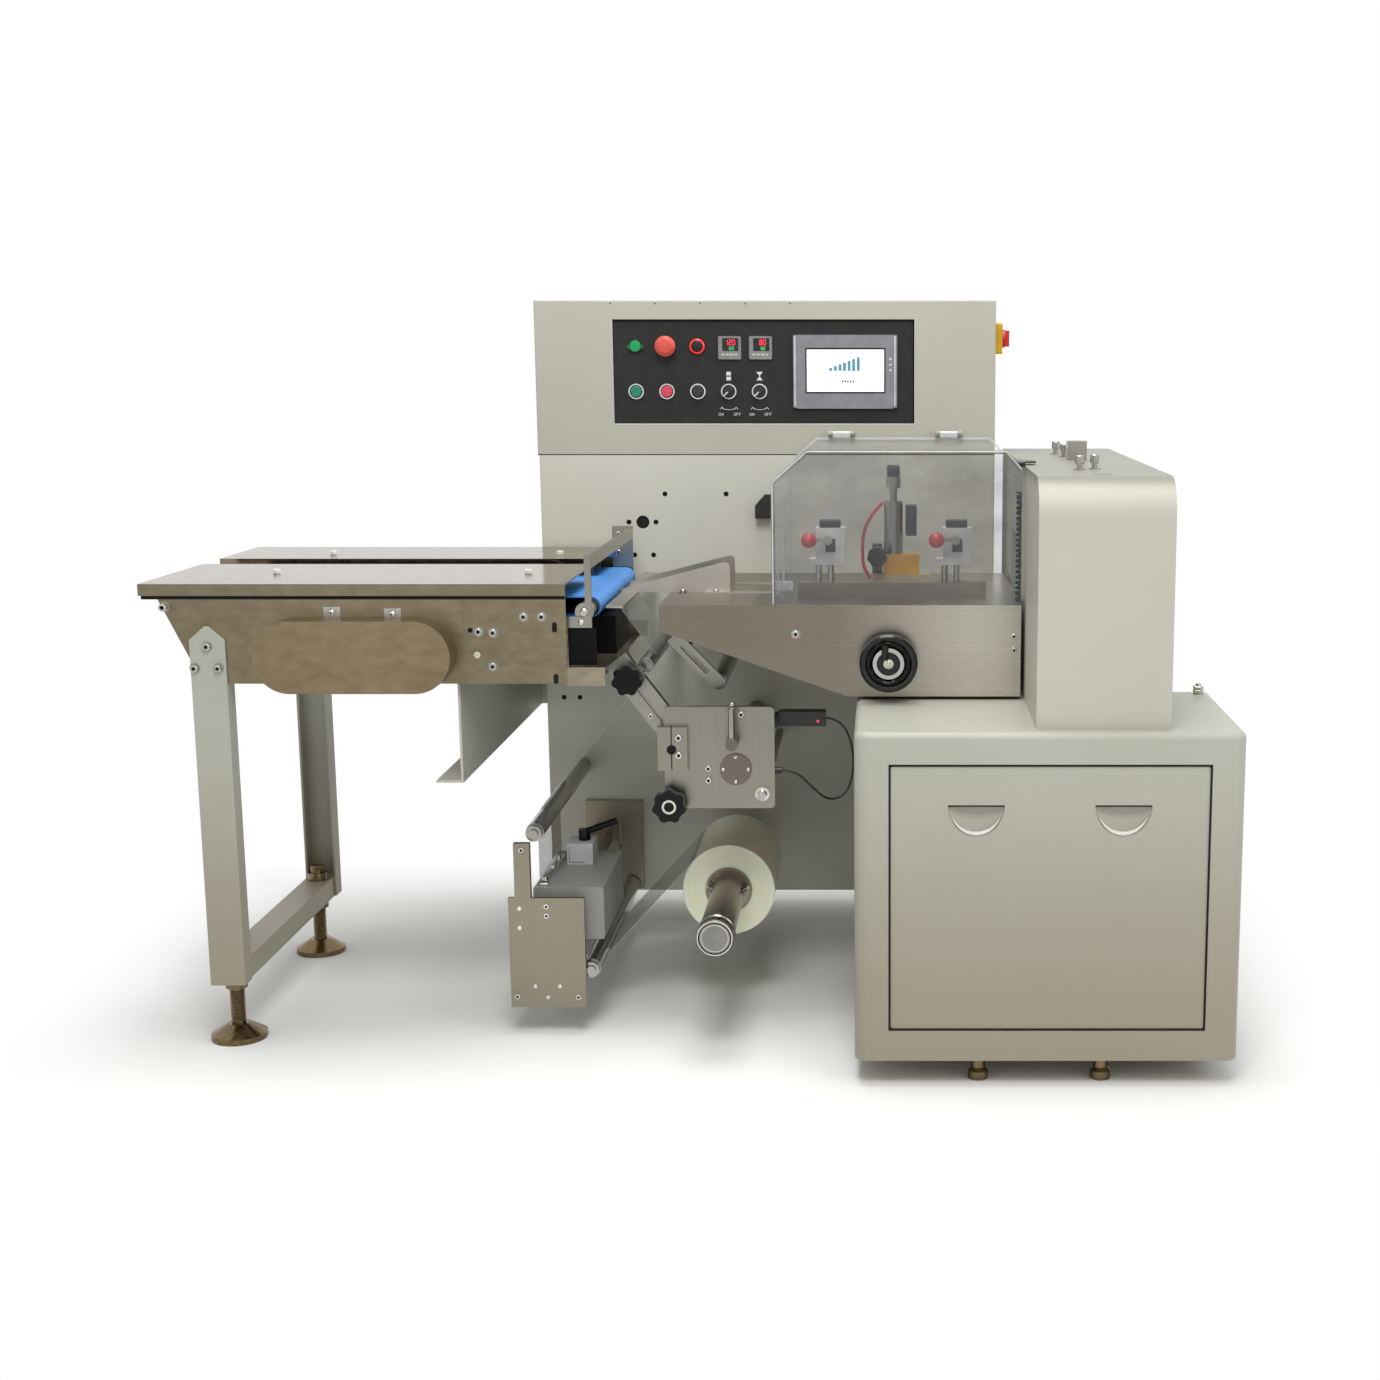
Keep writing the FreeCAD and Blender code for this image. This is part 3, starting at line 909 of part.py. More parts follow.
pieces.append(rod("shaft_cover", "disc_radius", (disc_spot[0], "carriage_front - disc_depth", disc_spot[1]), "disc_depth"))
pieces.append(rod("stud", "stud_radius", (stud_spot[0], "carriage_front - stud_length", stud_spot[1]), "stud_length"))
pieces.append(rod("lever_boss", "shaft_radius", (lever_spot[0], "carriage_front - lever_reach", lever_spot[1]), "lever_reach"))
pieces.append(rod("lever_handle", "lever_radius", (lever_spot[0], "carriage_front - lever_reach + shaft_radius", lever_spot[1]),
                  "lever_drop", "Z"))
for radius, spot in (("disc_radius - 8", disc_spot), ("stud_radius", stud_spot)):
    pieces.append(rod("cross_shaft", radius, (spot[0], "carriage_back", spot[1]), "cabinet_front - carriage_back"))
parts.append(fuse("film_carriage", *pieces))

arm_tool = block("arm_slot_tool", ("arm_slot_start", "arm_slot_start + arm_slot_length"), ("0", "arm_slot_depth"),
                 ("-arm_slot / 2", "arm_slot / 2"))
arm = slanted("slanted_arm", "arm_length", "arm_width", "arm_thickness", "arm_tilt",
              ("arm_end_x", "carriage_back", "arm_end_z"), [arm_tool])
link_tool = block("link_slot_tool", ("link_slot_start", "link_slot_start + link_slot_length"), ("0", "link_thickness"),
                  ("-link_slot / 2", "link_slot / 2"))
link = slanted("slotted_link", "link_length", "link_width", "link_thickness", "link_tilt",
               ("link_end_x", "link_y", "link_end_z"), [link_tool])
link_rod = rod("link_shaft", "stud_radius", ("link_rod_x", "link_y + link_thickness", "link_rod_z"),
               "cabinet_front - link_y - link_thickness")
parts.append(gather("roller_arms", arm, fuse("link_and_shaft", link, link_rod)))

parts.append(star_knob("arm_knob", "knob_circle + knob_lobe", ("arm_knob_x", "carriage_back - knob_height - knob_standoff",
                                                               "arm_knob_z"), "knob_standoff - seat_gap"))
parts.append(star_knob("low_knob", "knob_circle + knob_lobe + low_knob_scale",
                       ("low_knob_x", "carriage_front - knob_height - knob_standoff", "low_knob_z"),
                       "knob_standoff - seat_gap"))
roller_back = "cabinet_front - seat_gap"
arm_back = "carriage_back + arm_thickness + seat_gap"
parts.append(guide_roller("arm_roller", "arm_roller_radius", ("arm_roller_x", arm_back, "arm_roller_z"),
                          f"{roller_back} - ({arm_back})"))
link_back = "link_y + link_thickness + seat_gap"
parts.append(guide_roller("link_roller", "link_roller_radius", ("link_roller_x", link_back, "link_roller_z"),
                          f"{roller_back} - ({link_back})"))

# ---- Film reel: a shaft with a sprung core, a flange behind and the roll of film on it ----------

reel_front = "line_y - reel_end"
parts.append(turned("reel_shaft", [
    ("0", "0"), ("reel_cap - 2", "0"), ("reel_cap", "2"), ("reel_cap", "reel_cap_length * 0.55"),
    ("reel_cap - reel_groove", "reel_cap_length * 0.6"), ("reel_cap - reel_groove", "reel_cap_length * 0.7"),
    ("reel_cap", "reel_cap_length * 0.75"), ("reel_cap", "reel_cap_length"), ("reel_tube", "reel_cap_length"),
    ("reel_tube", "reel_end - film_reach"), ("core_radius", "reel_end - film_reach"),
    ("core_radius", "reel_end - film_reach + film_width"), ("flange_radius", "reel_end - film_reach + film_width"),
    ("flange_radius", "reel_end - film_reach + film_width + flange_thickness"),
    ("reel_tube", "reel_end - film_reach + film_width + flange_thickness"),
    ("reel_tube", "reel_end + cabinet_front - seat_gap"), ("0", "reel_end + cabinet_front - seat_gap")],
    ("reel_x", reel_front, "reel_z")))
roll_front = "line_y - film_reach"
parts.append(turned("film_roll", [("core_radius", "0"), ("roll_radius", "0"), ("roll_radius", "film_width"),
                                  ("core_radius", "film_width")], ("reel_x", roll_front, "reel_z")))

# ---- Date coder below the infeed, with the rollers that lead the film past it -------------------

coder_right = "coder_left + coder_plate_length"
face_back = "coder_y + coder_plate"
body_x = ("coder_body_left", "coder_body_left + coder_body_length")
mount_x = ("coder_mount_left", "coder_mount_left + coder_mount_length")
rail_x = ("coder_rail_left", "coder_rail_left + coder_rail")
rail_z = ("coder_body_bottom + coder_rail", "coder_body_bottom + 2 * coder_rail")
mount = plate("coder_mount", "XZ", [(mount_x[0], "coder_mount_bottom"), (mount_x[1], "coder_mount_bottom"),
                                    (mount_x[1], "coder_mount_top"), (mount_x[0], "coder_mount_top")],
              ("coder_mount_y", "cabinet_front"))
slot = obround("mount_slot", ("0", "0"), ("slot_length", "0"), "slot_radius", ("0", "coder_mount_plate"))
place(slot, ("coder_mount_left + coder_mount_length * 0.6", "coder_mount_y", "coder_mount_top - 93"),
      Rotation(Vector(0, 1, 0), -90))
pieces = [block("coder_face", ("coder_left", coder_right), ("coder_y", face_back), ("coder_bottom", "coder_bottom + coder_plate_height")),
          block("coder_post", ("coder_left + coder_post_left", "coder_left + coder_post_left + coder_post_width"),
                ("coder_y", "coder_y + coder_post_depth"),
                ("coder_bottom + coder_plate_height", "coder_bottom + coder_plate_height + coder_post_height")),
          block("coder_spacer", rail_x, (face_back, "coder_body_y"), rail_z),
          block("coder_bar", rail_x, ("coder_body_y + coder_body_depth", "coder_mount_y"), rail_z),
          cut("coder_back", mount, slot),
          rod("platen", "guide_radius", ("upper_x", face_back, "lower_z"), "coder_mount_y - coder_y - coder_plate")]
parts.append(gather("coder_frame", *pieces))
case = block("coder_case", body_x, ("coder_body_y", "coder_body_y + coder_body_depth"), ("coder_body_bottom", "coder_body_top"))
block_x = ("coder_body_left + coder_rail", "coder_body_left + coder_rail + block_length")
white = block("coder_block", block_x, ("coder_body_y + coder_body_depth - block_back - block_depth",
                                       "coder_body_y + coder_body_depth - block_back"),
              ("coder_body_top", "coder_body_top + block_height"))
parts.append(fuse("coder_body", rounded("coder_soft", case, "fold_radius", lambda middle, way: abs(way.y) > 0.9), white))
hub_y = "coder_body_y + coder_body_depth - block_back - block_depth / 2"
hub = rod("lever_hub", "lever_hub_radius", ("0", "0", "0"), "lever_hub_height", "Z")
handle = rod("lever_handle", "handle_radius", ("0", "0", "lever_hub_height - handle_radius"), "handle_length", "X")
handle.Placement.Rotation = Rotation(Vector(0, 1, 0), 90 - value("handle_tilt"))
parts.append(place(fuse("coder_lever", hub, handle), (f"{block_x[0]} + block_length * 0.6", hub_y,
                                                      "coder_body_top + block_height + seat_gap")))
parts.append(guide_roller("upper_roller", "guide_radius", ("upper_x", "line_y - guide_front", "upper_z"),
                          f"{roller_back} + guide_front"))
lower_front = f"{face_back} + seat_gap"
parts.append(guide_roller("lower_roller", "guide_radius", ("lower_x", lower_front, "lower_z"),
                          f"coder_mount_y - seat_gap - ({lower_front})"))

# ---- Film sensor on the carriage, with its cable ------------------------------------------------

sensor = block("sensor_case", ("sensor_left", "sensor_left + sensor_length"), ("sensor_y", "sensor_y + sensor_depth"),
               ("sensor_z - sensor_height / 2", "sensor_z + sensor_height / 2"))
holder = block("sensor_holder", (f"{right} - sensor_arm", "sensor_left"), ("carriage_back", "sensor_y + sensor_depth"),
               ("sensor_z - sensor_arm / 2", "sensor_z + sensor_arm / 2"))
gland = rod("cable_gland", "gland_radius", (right, "carriage_back - gland_radius", "gland_z"), "gland_length", "X")
parts.append(gather("film_sensor", fuse("sensor_and_holder", sensor, holder), gland))
middle_y = "sensor_y + sensor_depth / 2"
parts.append(cord("sensor_cable", "cable_radius", [
    ("sensor_left + sensor_length + seat_gap", middle_y, "sensor_z"), ("sensor_left + sensor_length + 26", middle_y, "sensor_z - 4"),
    ("sensor_left + sensor_length + 46", "sensor_y + 10", "sensor_z - 41"),
    ("sensor_left + sensor_length + 50", "sensor_y + 2", "sensor_z - 91"),
    ("sensor_left + sensor_length + 38", "sensor_y - 10", "sensor_z - 133"),
    ("sensor_left + sensor_length + 6", "sensor_y - 24", "sensor_z - 143"),
    ("sensor_left + sensor_length - 24", "sensor_y - 34", "sensor_z - 115"),
    ("sensor_left + sensor_length - 50", "carriage_back - gland_radius", "gland_z - 2"),
    (f"{right} + gland_length + seat_gap", "carriage_back - gland_radius", "gland_z")]))

# ---- Film web, from the reel round the rollers and up to the former's lip -----------------------
# Each run is the common tangent of two rollers. The side is +1 where the film has the roller on its
# left as it travels, -1 where it has it on its right.

ROUTE = (("reel_x", "reel_z", "roll_radius", 1), ("lower_x", "lower_z", "guide_radius", -1),
         ("upper_x", "lower_z", "guide_radius", -1), ("upper_x", "upper_z", "guide_radius", -1),
         ("arm_roller_x", "arm_roller_z", "arm_roller_radius", 1),
         ("lip_left + film_gap", "bed_top - lip_drop", "film_gap", -1))
runs = []
for (x, z, radius, side), (next_x, next_z, next_radius, next_side) in zip(ROUTE, ROUTE[1:]):
    here, there = Vector(value(x), 0, value(z)), Vector(value(next_x), 0, value(next_z))
    clear = value("film_gap") + value("film_thickness") / 2
    offset, next_offset = side * (value(radius) + clear), next_side * (value(next_radius) + clear)
    line = there - here
    heading = math.atan2(line.z, line.x) - math.asin((next_offset - offset) / line.Length)
    normal = Vector(-math.sin(heading), 0, math.cos(heading))
    start, end = here - normal * offset, there - normal * next_offset
    run = doc.addObject("Part::Box", "film_run")
    run.Length = (end - start).Length
    bind(run, "Width", "film_width")
    bind(run, "Height", "film_thickness")
    run.Placement.Rotation = Rotation(Vector(0, 1, 0), -math.degrees(heading))
    run.Placement.Base = start - normal * (value("film_thickness") / 2) + Vector(0, value(roll_front), 0)
    runs.append(run)
parts.append(gather("film_web", *runs))

# ---- Check and write every piece ----------------------------------------------------------------

doc.recompute()
for thing in doc.Objects:
    if {"Invalid", "Error"} & set(thing.State):
        raise RuntimeError(f"{thing.Label}: {thing.State}")
os.makedirs("parts", exist_ok=True)
for piece in parts:
    if piece.Shape.isNull() or not piece.Shape.isValid():
        raise RuntimeError(f"{piece.Label} has no valid shape")
    piece.Shape.exportStep(f"parts/{piece.Label}.step")
print(f"{len(parts)} pieces written")
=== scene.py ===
import math

import bpy
import numpy as np
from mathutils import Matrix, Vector


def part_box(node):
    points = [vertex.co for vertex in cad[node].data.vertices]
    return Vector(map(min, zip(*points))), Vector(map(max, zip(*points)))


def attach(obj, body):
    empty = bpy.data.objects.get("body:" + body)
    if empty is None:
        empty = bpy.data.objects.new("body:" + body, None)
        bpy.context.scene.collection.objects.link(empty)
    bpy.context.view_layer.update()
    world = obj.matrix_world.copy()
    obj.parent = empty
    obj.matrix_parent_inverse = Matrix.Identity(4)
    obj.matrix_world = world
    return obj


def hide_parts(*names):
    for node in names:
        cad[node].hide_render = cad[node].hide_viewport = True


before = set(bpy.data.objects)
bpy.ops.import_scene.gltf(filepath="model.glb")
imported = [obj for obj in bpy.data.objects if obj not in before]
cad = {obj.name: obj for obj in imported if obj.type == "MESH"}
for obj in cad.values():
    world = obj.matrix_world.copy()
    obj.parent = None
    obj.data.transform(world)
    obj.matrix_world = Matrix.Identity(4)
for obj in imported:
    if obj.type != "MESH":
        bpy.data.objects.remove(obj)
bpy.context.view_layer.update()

# ---- Cabinets, jaw cover, leg and bracket -------------------------------------------------------
# Folded mild steel sheet, welded at the corners and powder coated in one warm grey. The tapped
# holes and the screws on top of the jaw cover are left as bare steel.


def linear(code):
    """The linear colour of an sRGB hex code: each channel over 255, then the sRGB curve undone."""
    channels = np.array([int(code[i:i + 2], 16) for i in (1, 3, 5)]) / 255
    curved = np.where(channels <= 0.04045, channels / 12.92, ((channels + 0.055) / 1.055) ** 2.4)
    return (*curved.tolist(), 1.0)


def feed(tree, given, socket):
    """Gives a socket what it is to hold: another socket's value, a hex colour or a number."""
    if isinstance(given, bpy.types.NodeSocket):
        tree.links.new(given, socket)
    else:
        socket.default_value = linear(given) if isinstance(given, str) else given


def add(tree, kind, inputs=None, **settings):
    """Adds a node of a kind, sets its properties, and feeds its inputs by name or number."""
    node = tree.nodes.new("ShaderNode" + kind)
    for name, setting in settings.items():
        setattr(node, name, setting)
    for name, given in (inputs or {}).items():
        feed(tree, given, node.inputs[name])
    return node


def mixed(tree, share, low, high):
    """A colour or a number that goes from low to high as share goes from 0 to 1."""
    colour = isinstance(low, str) or (isinstance(low, bpy.types.NodeSocket) and low.type == "RGBA")
    first, second, out = (6, 7, 2) if colour else (2, 3, 0)
    node = add(tree, "Mix", {0: share, first: low, second: high}, data_type="RGBA" if colour else "FLOAT")
    return node.outputs[out]


def grain(tree, place, size, detail=2.0):
    """Noise from 0 to 1 whose blotches are as long as the given millimetres along X, Y and Z."""
    stretch = add(tree, "Mapping", {"Vector": place, "Scale": tuple(1000 / step for step in size)})
    noise = add(tree, "TexNoise", {"Vector": stretch.outputs[0], "Scale": 1.0, "Detail": detail})
    return add(tree, "MapRange", {0: noise.outputs[0], 1: 0.25, 2: 0.75}).outputs[0]


def within(tree, place, low, high):
    """1 inside the box between two corners and 0 outside it, by the largest of the three distances
    past its sides."""
    middle = tuple((a + b) / 2 for a, b in zip(low, high))
    half = tuple((b - a) / 2 for a, b in zip(low, high))
    off = add(tree, "VectorMath", {0: place, 1: middle}, operation="SUBTRACT").outputs[0]
    size = add(tree, "VectorMath", {0: off}, operation="ABSOLUTE").outputs[0]
    past = add(tree, "VectorMath", {0: size, 1: half}, operation="SUBTRACT").outputs[0]
    sides = add(tree, "SeparateXYZ", {0: past}).outputs
    worst = add(tree, "Math", {0: sides[0], 1: sides[1]}, operation="MAXIMUM").outputs[0]
    worst = add(tree, "Math", {0: worst, 1: sides[2]}, operation="MAXIMUM").outputs[0]
    return add(tree, "Math", {0: worst, 1: 0.0}, operation="LESS_THAN").outputs[0]


def powder(light, dark, rough=0.4):
    """Powder coat: orange peel about 2.5 mm across in a low sheen, and a tone that drifts slightly."""
    def coat(tree, place):
        peel = grain(tree, place, (2.6, 2.6, 2.6))
        drift = grain(tree, place, (330, 330, 420), 3.0)
        sheen = mixed(tree, peel, rough - 0.04, rough + 0.06)
        return mixed(tree, drift, dark, light), sheen, 0.0, peel, 0.00004
    return coat


def brushed(light, dark, size, rough=0.3, depth=0.000006, streak=0.45):
    """Brushed metal: scratches as long and as wide as size, their weight the streak, over soft
    patches 300 mm across."""
    def coat(tree, place):
        lines = grain(tree, place, size, 3.0)
        soft = grain(tree, place, (300, 300, 300), 1.0)
        tone = add(tree, "Math", {0: lines, 1: streak, 2: soft}, operation="MULTIPLY_ADD").outputs[0]
        share = add(tree, "MapRange", {0: tone, 1: 0.2, 2: 0.8 + streak}).outputs[0]
        sheen = mixed(tree, lines, rough - 0.03, rough + 0.05)
        return mixed(tree, share, dark, light), sheen, 1.0, lines, depth
    return coat


def moulded(light, dark, rough=0.4):
    """Moulded plastic: an even spark-eroded grain under a millimetre across."""
    def coat(tree, place):
        fine = grain(tree, place, (0.7, 0.7, 0.7))
        drift = grain(tree, place, (25, 25, 25))
        sheen = mixed(tree, fine, rough - 0.04, rough + 0.08)
        return mixed(tree, drift, dark, light), sheen, 0.0, fine, 0.00001
    return coat


def fading(first, last, axis, start, end):
    """A coat that goes smoothly over into another along an axis, between two places on it."""
    def coat(tree, place):
        span = {0: add(tree, "SeparateXYZ", {0: place}).outputs[axis], 1: start, 2: end}
        share = add(tree, "MapRange", span, interpolation_type="SMOOTHSTEP").outputs[0]
        pair = zip(first(tree, place)[:4], last(tree, place)[:4])
        return *(mixed(tree, share, low, high) for low, high in pair), first(tree, place)[4]
    return coat


def blank(name):
    """A new material: itself, its node tree, its shader and the piece's own coordinates."""
    made = bpy.data.materials.new(name)
    made.use_nodes = True
    tree = made.node_tree
    return made, tree, tree.nodes["Principled BSDF"], add(tree, "TexCoord").outputs


def dress(tree, shader, **inputs):
    """Feeds the shader's inputs by their names, written with _ for a space."""
    for name, given in inputs.items():
        feed(tree, given, shader.inputs[name.replace("_", " ")])


def finish(name, base, *patches, **constants):
    """A material with a base coat, and other coats inside boxes given by two corners in metres.
    Constants go on the shader's own sockets."""
    made, tree, shader, own = blank(name)
    place = own["Object"]
    colour, rough, metal, height, depth = base(tree, place)
    height = add(tree, "Math", {0: height, 1: depth}, operation="MULTIPLY").outputs[0]
    for coat, low, high in patches:
        share = within(tree, place, low, high)
        over = coat(tree, place)
        rise = add(tree, "Math", {0: over[3], 1: over[4]}, operation="MULTIPLY").outputs[0]
        colour = mixed(tree, share, colour, over[0])
        rough = mixed(tree, share, rough, over[1])
        metal = mixed(tree, share, metal, over[2])
        height = mixed(tree, share, height, rise)
    bump = add(tree, "Bump", {"Height": height, "Distance": 1.0}).outputs[0]
    dress(tree, shader, Base_Color=colour, Roughness=rough, Metallic=metal, Normal=bump, **constants)
    return made


def wear(made, *nodes):
    """Gives carried-over CAD pieces their finish."""
    for node in nodes:
        cad[node].data.materials.clear()
        cad[node].data.materials.append(made)


# Powder coat scatters evenly, so panels look flat under a weak, wide highlight. Low parts pass from a warmer,
# darker grey near the floor to a cooler, lighter one: painted shade. The tapped holes and the seam under the
# control box are painted near-black: painted shade. Screws on the jaw cover are bare turned steel with sharp
# lights.
weak = {"Specular_IOR_Level": 0.35}
paint = powder("#BFBEB2", "#B9B8AB")
shaded_paint = powder("#8D8C81", "#87867B")
# Painted shade: the base, the centre frame and the leg darken towards the floor.
low_paint = fading(powder("#9C9684", "#968F7D"), powder("#B4B4A9", "#AEAEA2"), 2, 0.10, 0.62)
dark_bore = moulded("#161512", "#0D0C0A", 0.6)
turned = brushed("#B9B7B1", "#94928C", (0.5, 40, 0.5), 0.22)
# Painted shade: near-black inside the tapped holes of the rear cabinet and in the seam under the control box.
tapped_holes = (dark_bore, (-0.34, 0.2873, 0.49), (0.03, 0.33, 0.93))
lid_seam = (dark_bore, (-0.4, 0.2872, 0.9903), (0.6, 0.56, 0.9936))
top_screws = (turned, (0.5, -0.6, 0.9972), (0.9, 0.6, 1.1))
# Painted light: the rear cabinet's grey is lighter than the control box's, standing in for light thrown up on
# it from the plates below.
wear(finish("powder_coated_steel_painted_light_and_shade", powder("#D6D5CA", "#CFCEC2"), tapped_holes, **weak),
     "rear_cabinet")
wear(finish("powder_coated_steel_seam_shade", powder("#BFBEB1", "#B9B8AB"), lid_seam, **weak), "control_box")
wear(finish("powder_coated_steel_grey", paint, **weak), "side_bracket")
wear(finish("powder_coated_steel_base_shaded_low", low_paint, **weak),
     "base_cabinet", "base_panel", "centre_frame", "infeed_leg")
# Painted shade: the jaw cover darkens towards and across its top.
housing_paint = fading(paint, shaded_paint, 2, 0.972, 0.9965)
wear(finish("powder_coated_steel_shaded_top_bare_screws", housing_paint, top_screws, **weak), "jaw_housing")

# ---- Screws, nuts and washers -------------------------------------------------------------------
# Cap, button and hexagon screws of steel, cold headed and bright zinc plated. They are pulled up by
# hand on plain washers; the hexagons on the infeed plates are nickel plated.


def skin(rows, turns, closed=False):
    """The faces between rings of as many points each. The end rings are capped, or joined to each
    other when closed."""
    row = np.arange(rows if closed else rows - 1)[:, None] * turns
    here, after = np.arange(turns), np.roll(np.arange(turns), -1)
    above = (row + turns) % (rows * turns)
    quads = np.stack([row + here, row + after, above + after, above + here], axis=2).reshape(-1, 4)
    caps = [] if closed else [here[::-1][None], (here + (rows - 1) * turns)[None]]
    return [quads, *caps]


def revolved(profile, place, axis=(0, 0, 1), turns=28, closed=False):
    """A turned shape: each (radius, height) of the profile becomes a ring of points at radius times
    (cos, sin) round the axis and height along it."""
    along = Vector(axis).normalized()
    side = along.orthogonal().normalized()
    frame_axes = np.array([side, along.cross(side), along])
    angles = np.arange(turns) * 2 * math.pi / turns
    radius, height = np.array(profile, float).T
    rings = np.stack([np.outer(radius, np.cos(angles)), np.outer(radius, np.sin(angles)),
                      np.repeat(height[:, None], turns, 1)], axis=2)
    return rings.reshape(-1, 3) @ frame_axes + np.array(place), skin(len(profile), turns, closed)


def rounded_block(low, high, radius, steps=2):
    """A box with rounded edges: each point of a cube's surface grid is pulled to lie a radius away
    from the nearest point of the box shrunk by that radius. The grid lines fall at equal angles."""
    low, high = np.array(low, float), np.array(high, float)
    middle, half = (low + high) / 2, (high - low) / 2
    inner = half - radius
    slope = radius * np.tan(np.linspace(0, math.pi / 4, steps + 1))
    ticks = [np.concatenate([-(inner[k] + slope[::-1]), inner[k] + slope]) for k in range(3)]
    points, quads, total = [], [], 0
    for axis in range(3):
        u, v = (axis + 1) % 3, (axis + 2) % 3
        for side in (-1, 1):
            grid = np.zeros((len(ticks[u]), len(ticks[v]), 3))
            grid[..., u], grid[..., v], grid[..., axis] = ticks[u][:, None], ticks[v][None], side * half[axis]
            core = np.clip(grid, -inner, inner)
            away = grid - core
            points.append((core + radius * away / np.linalg.norm(away, axis=2, keepdims=True)).reshape(-1, 3))
            rows, columns = grid.shape[:2]
            corner = (np.arange(rows - 1)[:, None] * columns + np.arange(columns - 1)).reshape(-1)
            ring = np.stack([corner, corner + columns, corner + columns + 1, corner + 1], axis=1)
            quads.append((ring if side > 0 else ring[:, ::-1]) + total)
            total += rows * columns
    points, quads = np.concatenate(points), np.concatenate(quads)
    welded, first = np.unique(np.round(points, 7), axis=0, return_inverse=True)
    return welded + middle, [first.reshape(-1)[quads]]


def prism(outline, low, high, axis=1):
    """A straight-sided shape: an outline of (x, z) points, or of the two other axes in order, carried
    from low to high along an axis."""
    flat = np.array(outline, float)
    count = len(flat)
    across = [k for k in range(3) if k != axis]
    points = np.zeros((2, count, 3))
    points[..., across] = flat
    points[0, :, axis], points[1, :, axis] = low, high
    here, after = np.arange(count), np.roll(np.arange(count), -1)
    sides = np.stack([here, after, after + count, here + count], axis=1)
    turning = np.sum(flat[:, 0] * np.roll(flat[:, 1], -1) - np.roll(flat[:, 0], -1) * flat[:, 1])
    flip = (turning > 0) == (axis == 1)
    faces = [sides, here[::-1][None], (here + count)[None]]
    return points.reshape(-1, 3), [face[:, ::-1] if flip else face for face in faces]


def swept(path, radius, turns=12):
    """A round bar along a path: at each point a ring of the radius stands across the path, its sides
    carried on from the ring before so that it doesn't twist."""
    spots = np.array(path, float)
    ways = np.gradient(spots, axis=0)
    ways /= np.linalg.norm(ways, axis=1, keepdims=True)
    side = np.array(Vector(ways[0]).orthogonal().normalized())
    sides = []
    for way in ways:
        side = side - way * (side @ way)
        side = side / np.linalg.norm(side)
        sides.append(side)
    sides = np.array(sides)
    others = np.cross(ways, sides)
    angles = np.arange(turns) * 2 * math.pi / turns
    radii = np.broadcast_to(np.array(radius, float), len(spots))[:, None, None]
    rings = spots[:, None] + radii * (np.cos(angles)[:, None] * sides[:, None]
                                      + np.sin(angles)[:, None] * others[:, None])
    return rings.reshape(-1, 3), skin(len(spots), turns)


def piece(name, body, made, *shapes, soft=35, bevel=0.0):
    """Joins shapes into one object with a material that rides on a body. Edges sharper than soft
    degrees stay crisp, and a bevel width rounds the straight-sided ones."""
    points, faces, total = [], [], 0
    for spots, groups in shapes:
        points.append(spots)
        faces += [ring for group in groups for ring in (np.asarray(group) + total).tolist()]
        total += len(spots)
    mesh = bpy.data.meshes.new(name)
    mesh.from_pydata(np.concatenate(points).tolist(), [], faces)
    mesh.materials.append(made)
    mesh.shade_smooth()
    mesh.set_sharp_from_angle(angle=math.radians(soft))
    thing = bpy.data.objects.new(name, mesh)
    bpy.context.scene.collection.objects.link(thing)
    if bevel:
        edge = thing.modifiers.new("edges", "BEVEL")
        edge.width, edge.segments, edge.limit_method = bevel, 2, "ANGLE"
    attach(thing, body)
    return thing


def cap_screw(place, axis, radius, height):
    """A cap screw's head: a cylinder with a broken edge and a socket half as deep as it is high."""
    edge, socket = radius * 0.12, radius * 0.52
    return revolved([(radius, 0), (radius, height - edge), (radius - edge, height), (socket, height),
                     (socket, height * 0.45)], place, axis, 24)


def button_screw(place, axis, radius, height):
    """A button screw's head: a low dome, radius times cosine by height times sine, with a socket."""
    dome = [(radius * math.cos(a), height * math.sin(a)) for a in np.linspace(0, 1.25, 6)]
    return revolved([*dome, (radius * 0.3, height * 0.5)], place, axis, 24)


def hexagon(place, axis, width, height):
    """A hexagon nut or head: a profile turned in six steps, its corner at the width over the root of
    three, with a smaller ring at both ends as the chamfer."""
    corner = width / math.sqrt(3)
    profile = [(corner * 0.9, 0), (corner, height * 0.12), (corner, height * 0.88), (corner * 0.9, height)]
    return revolved(profile, place, axis, 6)


def washer(place, axis, outer, inner, height):
    """A flat ring: the rectangle between the two radii, turned about the axis."""
    return revolved([(outer, 0), (outer, height), (inner, height), (inner, 0)], place, axis, 28, True)


def stud(place, axis, radius, height, edge, rise, turns=28):
    """A pin whose end narrows by edge over the last bit of its length, the rise."""
    return revolved([(radius, 0), (radius, height), (radius - edge, height + rise)], place, axis, turns)


def dot(place, axis, radius):
    """A flat round spot, as the bottom of a socket, to carry its painted shade."""
    return revolved([(radius, 0), (radius, 0.0002)], place, axis, 12)


def bolts(name, body, places, axis, radius, height, head=cap_screw, ring=1.4):
    """Screws with washers under them, at places along an axis, and the bottoms of their sockets painted black
    as shade.
    """
    way = np.array(axis, float)
    seats = [np.array(place, float) for place in places]
    if ring:
        piece(f"{name}_washers", body, dull_zinc,
              *[washer(seat, axis, radius * ring, radius * 0.5, washer_height) for seat in seats], soft=30)
    lift = washer_height if ring else 0.0
    piece(name, body, zinc, *[head(seat + way * lift, axis, radius, height) for seat in seats], soft=30)
    piece(f"{name}_sockets", body, rubber_black,
          *[dot(seat + way * (lift + height * 0.52), axis, radius * 0.5) for seat in seats])


front, back, up, washer_height = (0, -1, 0), (0, 1, 0), (0, 0, 1), 0.0012
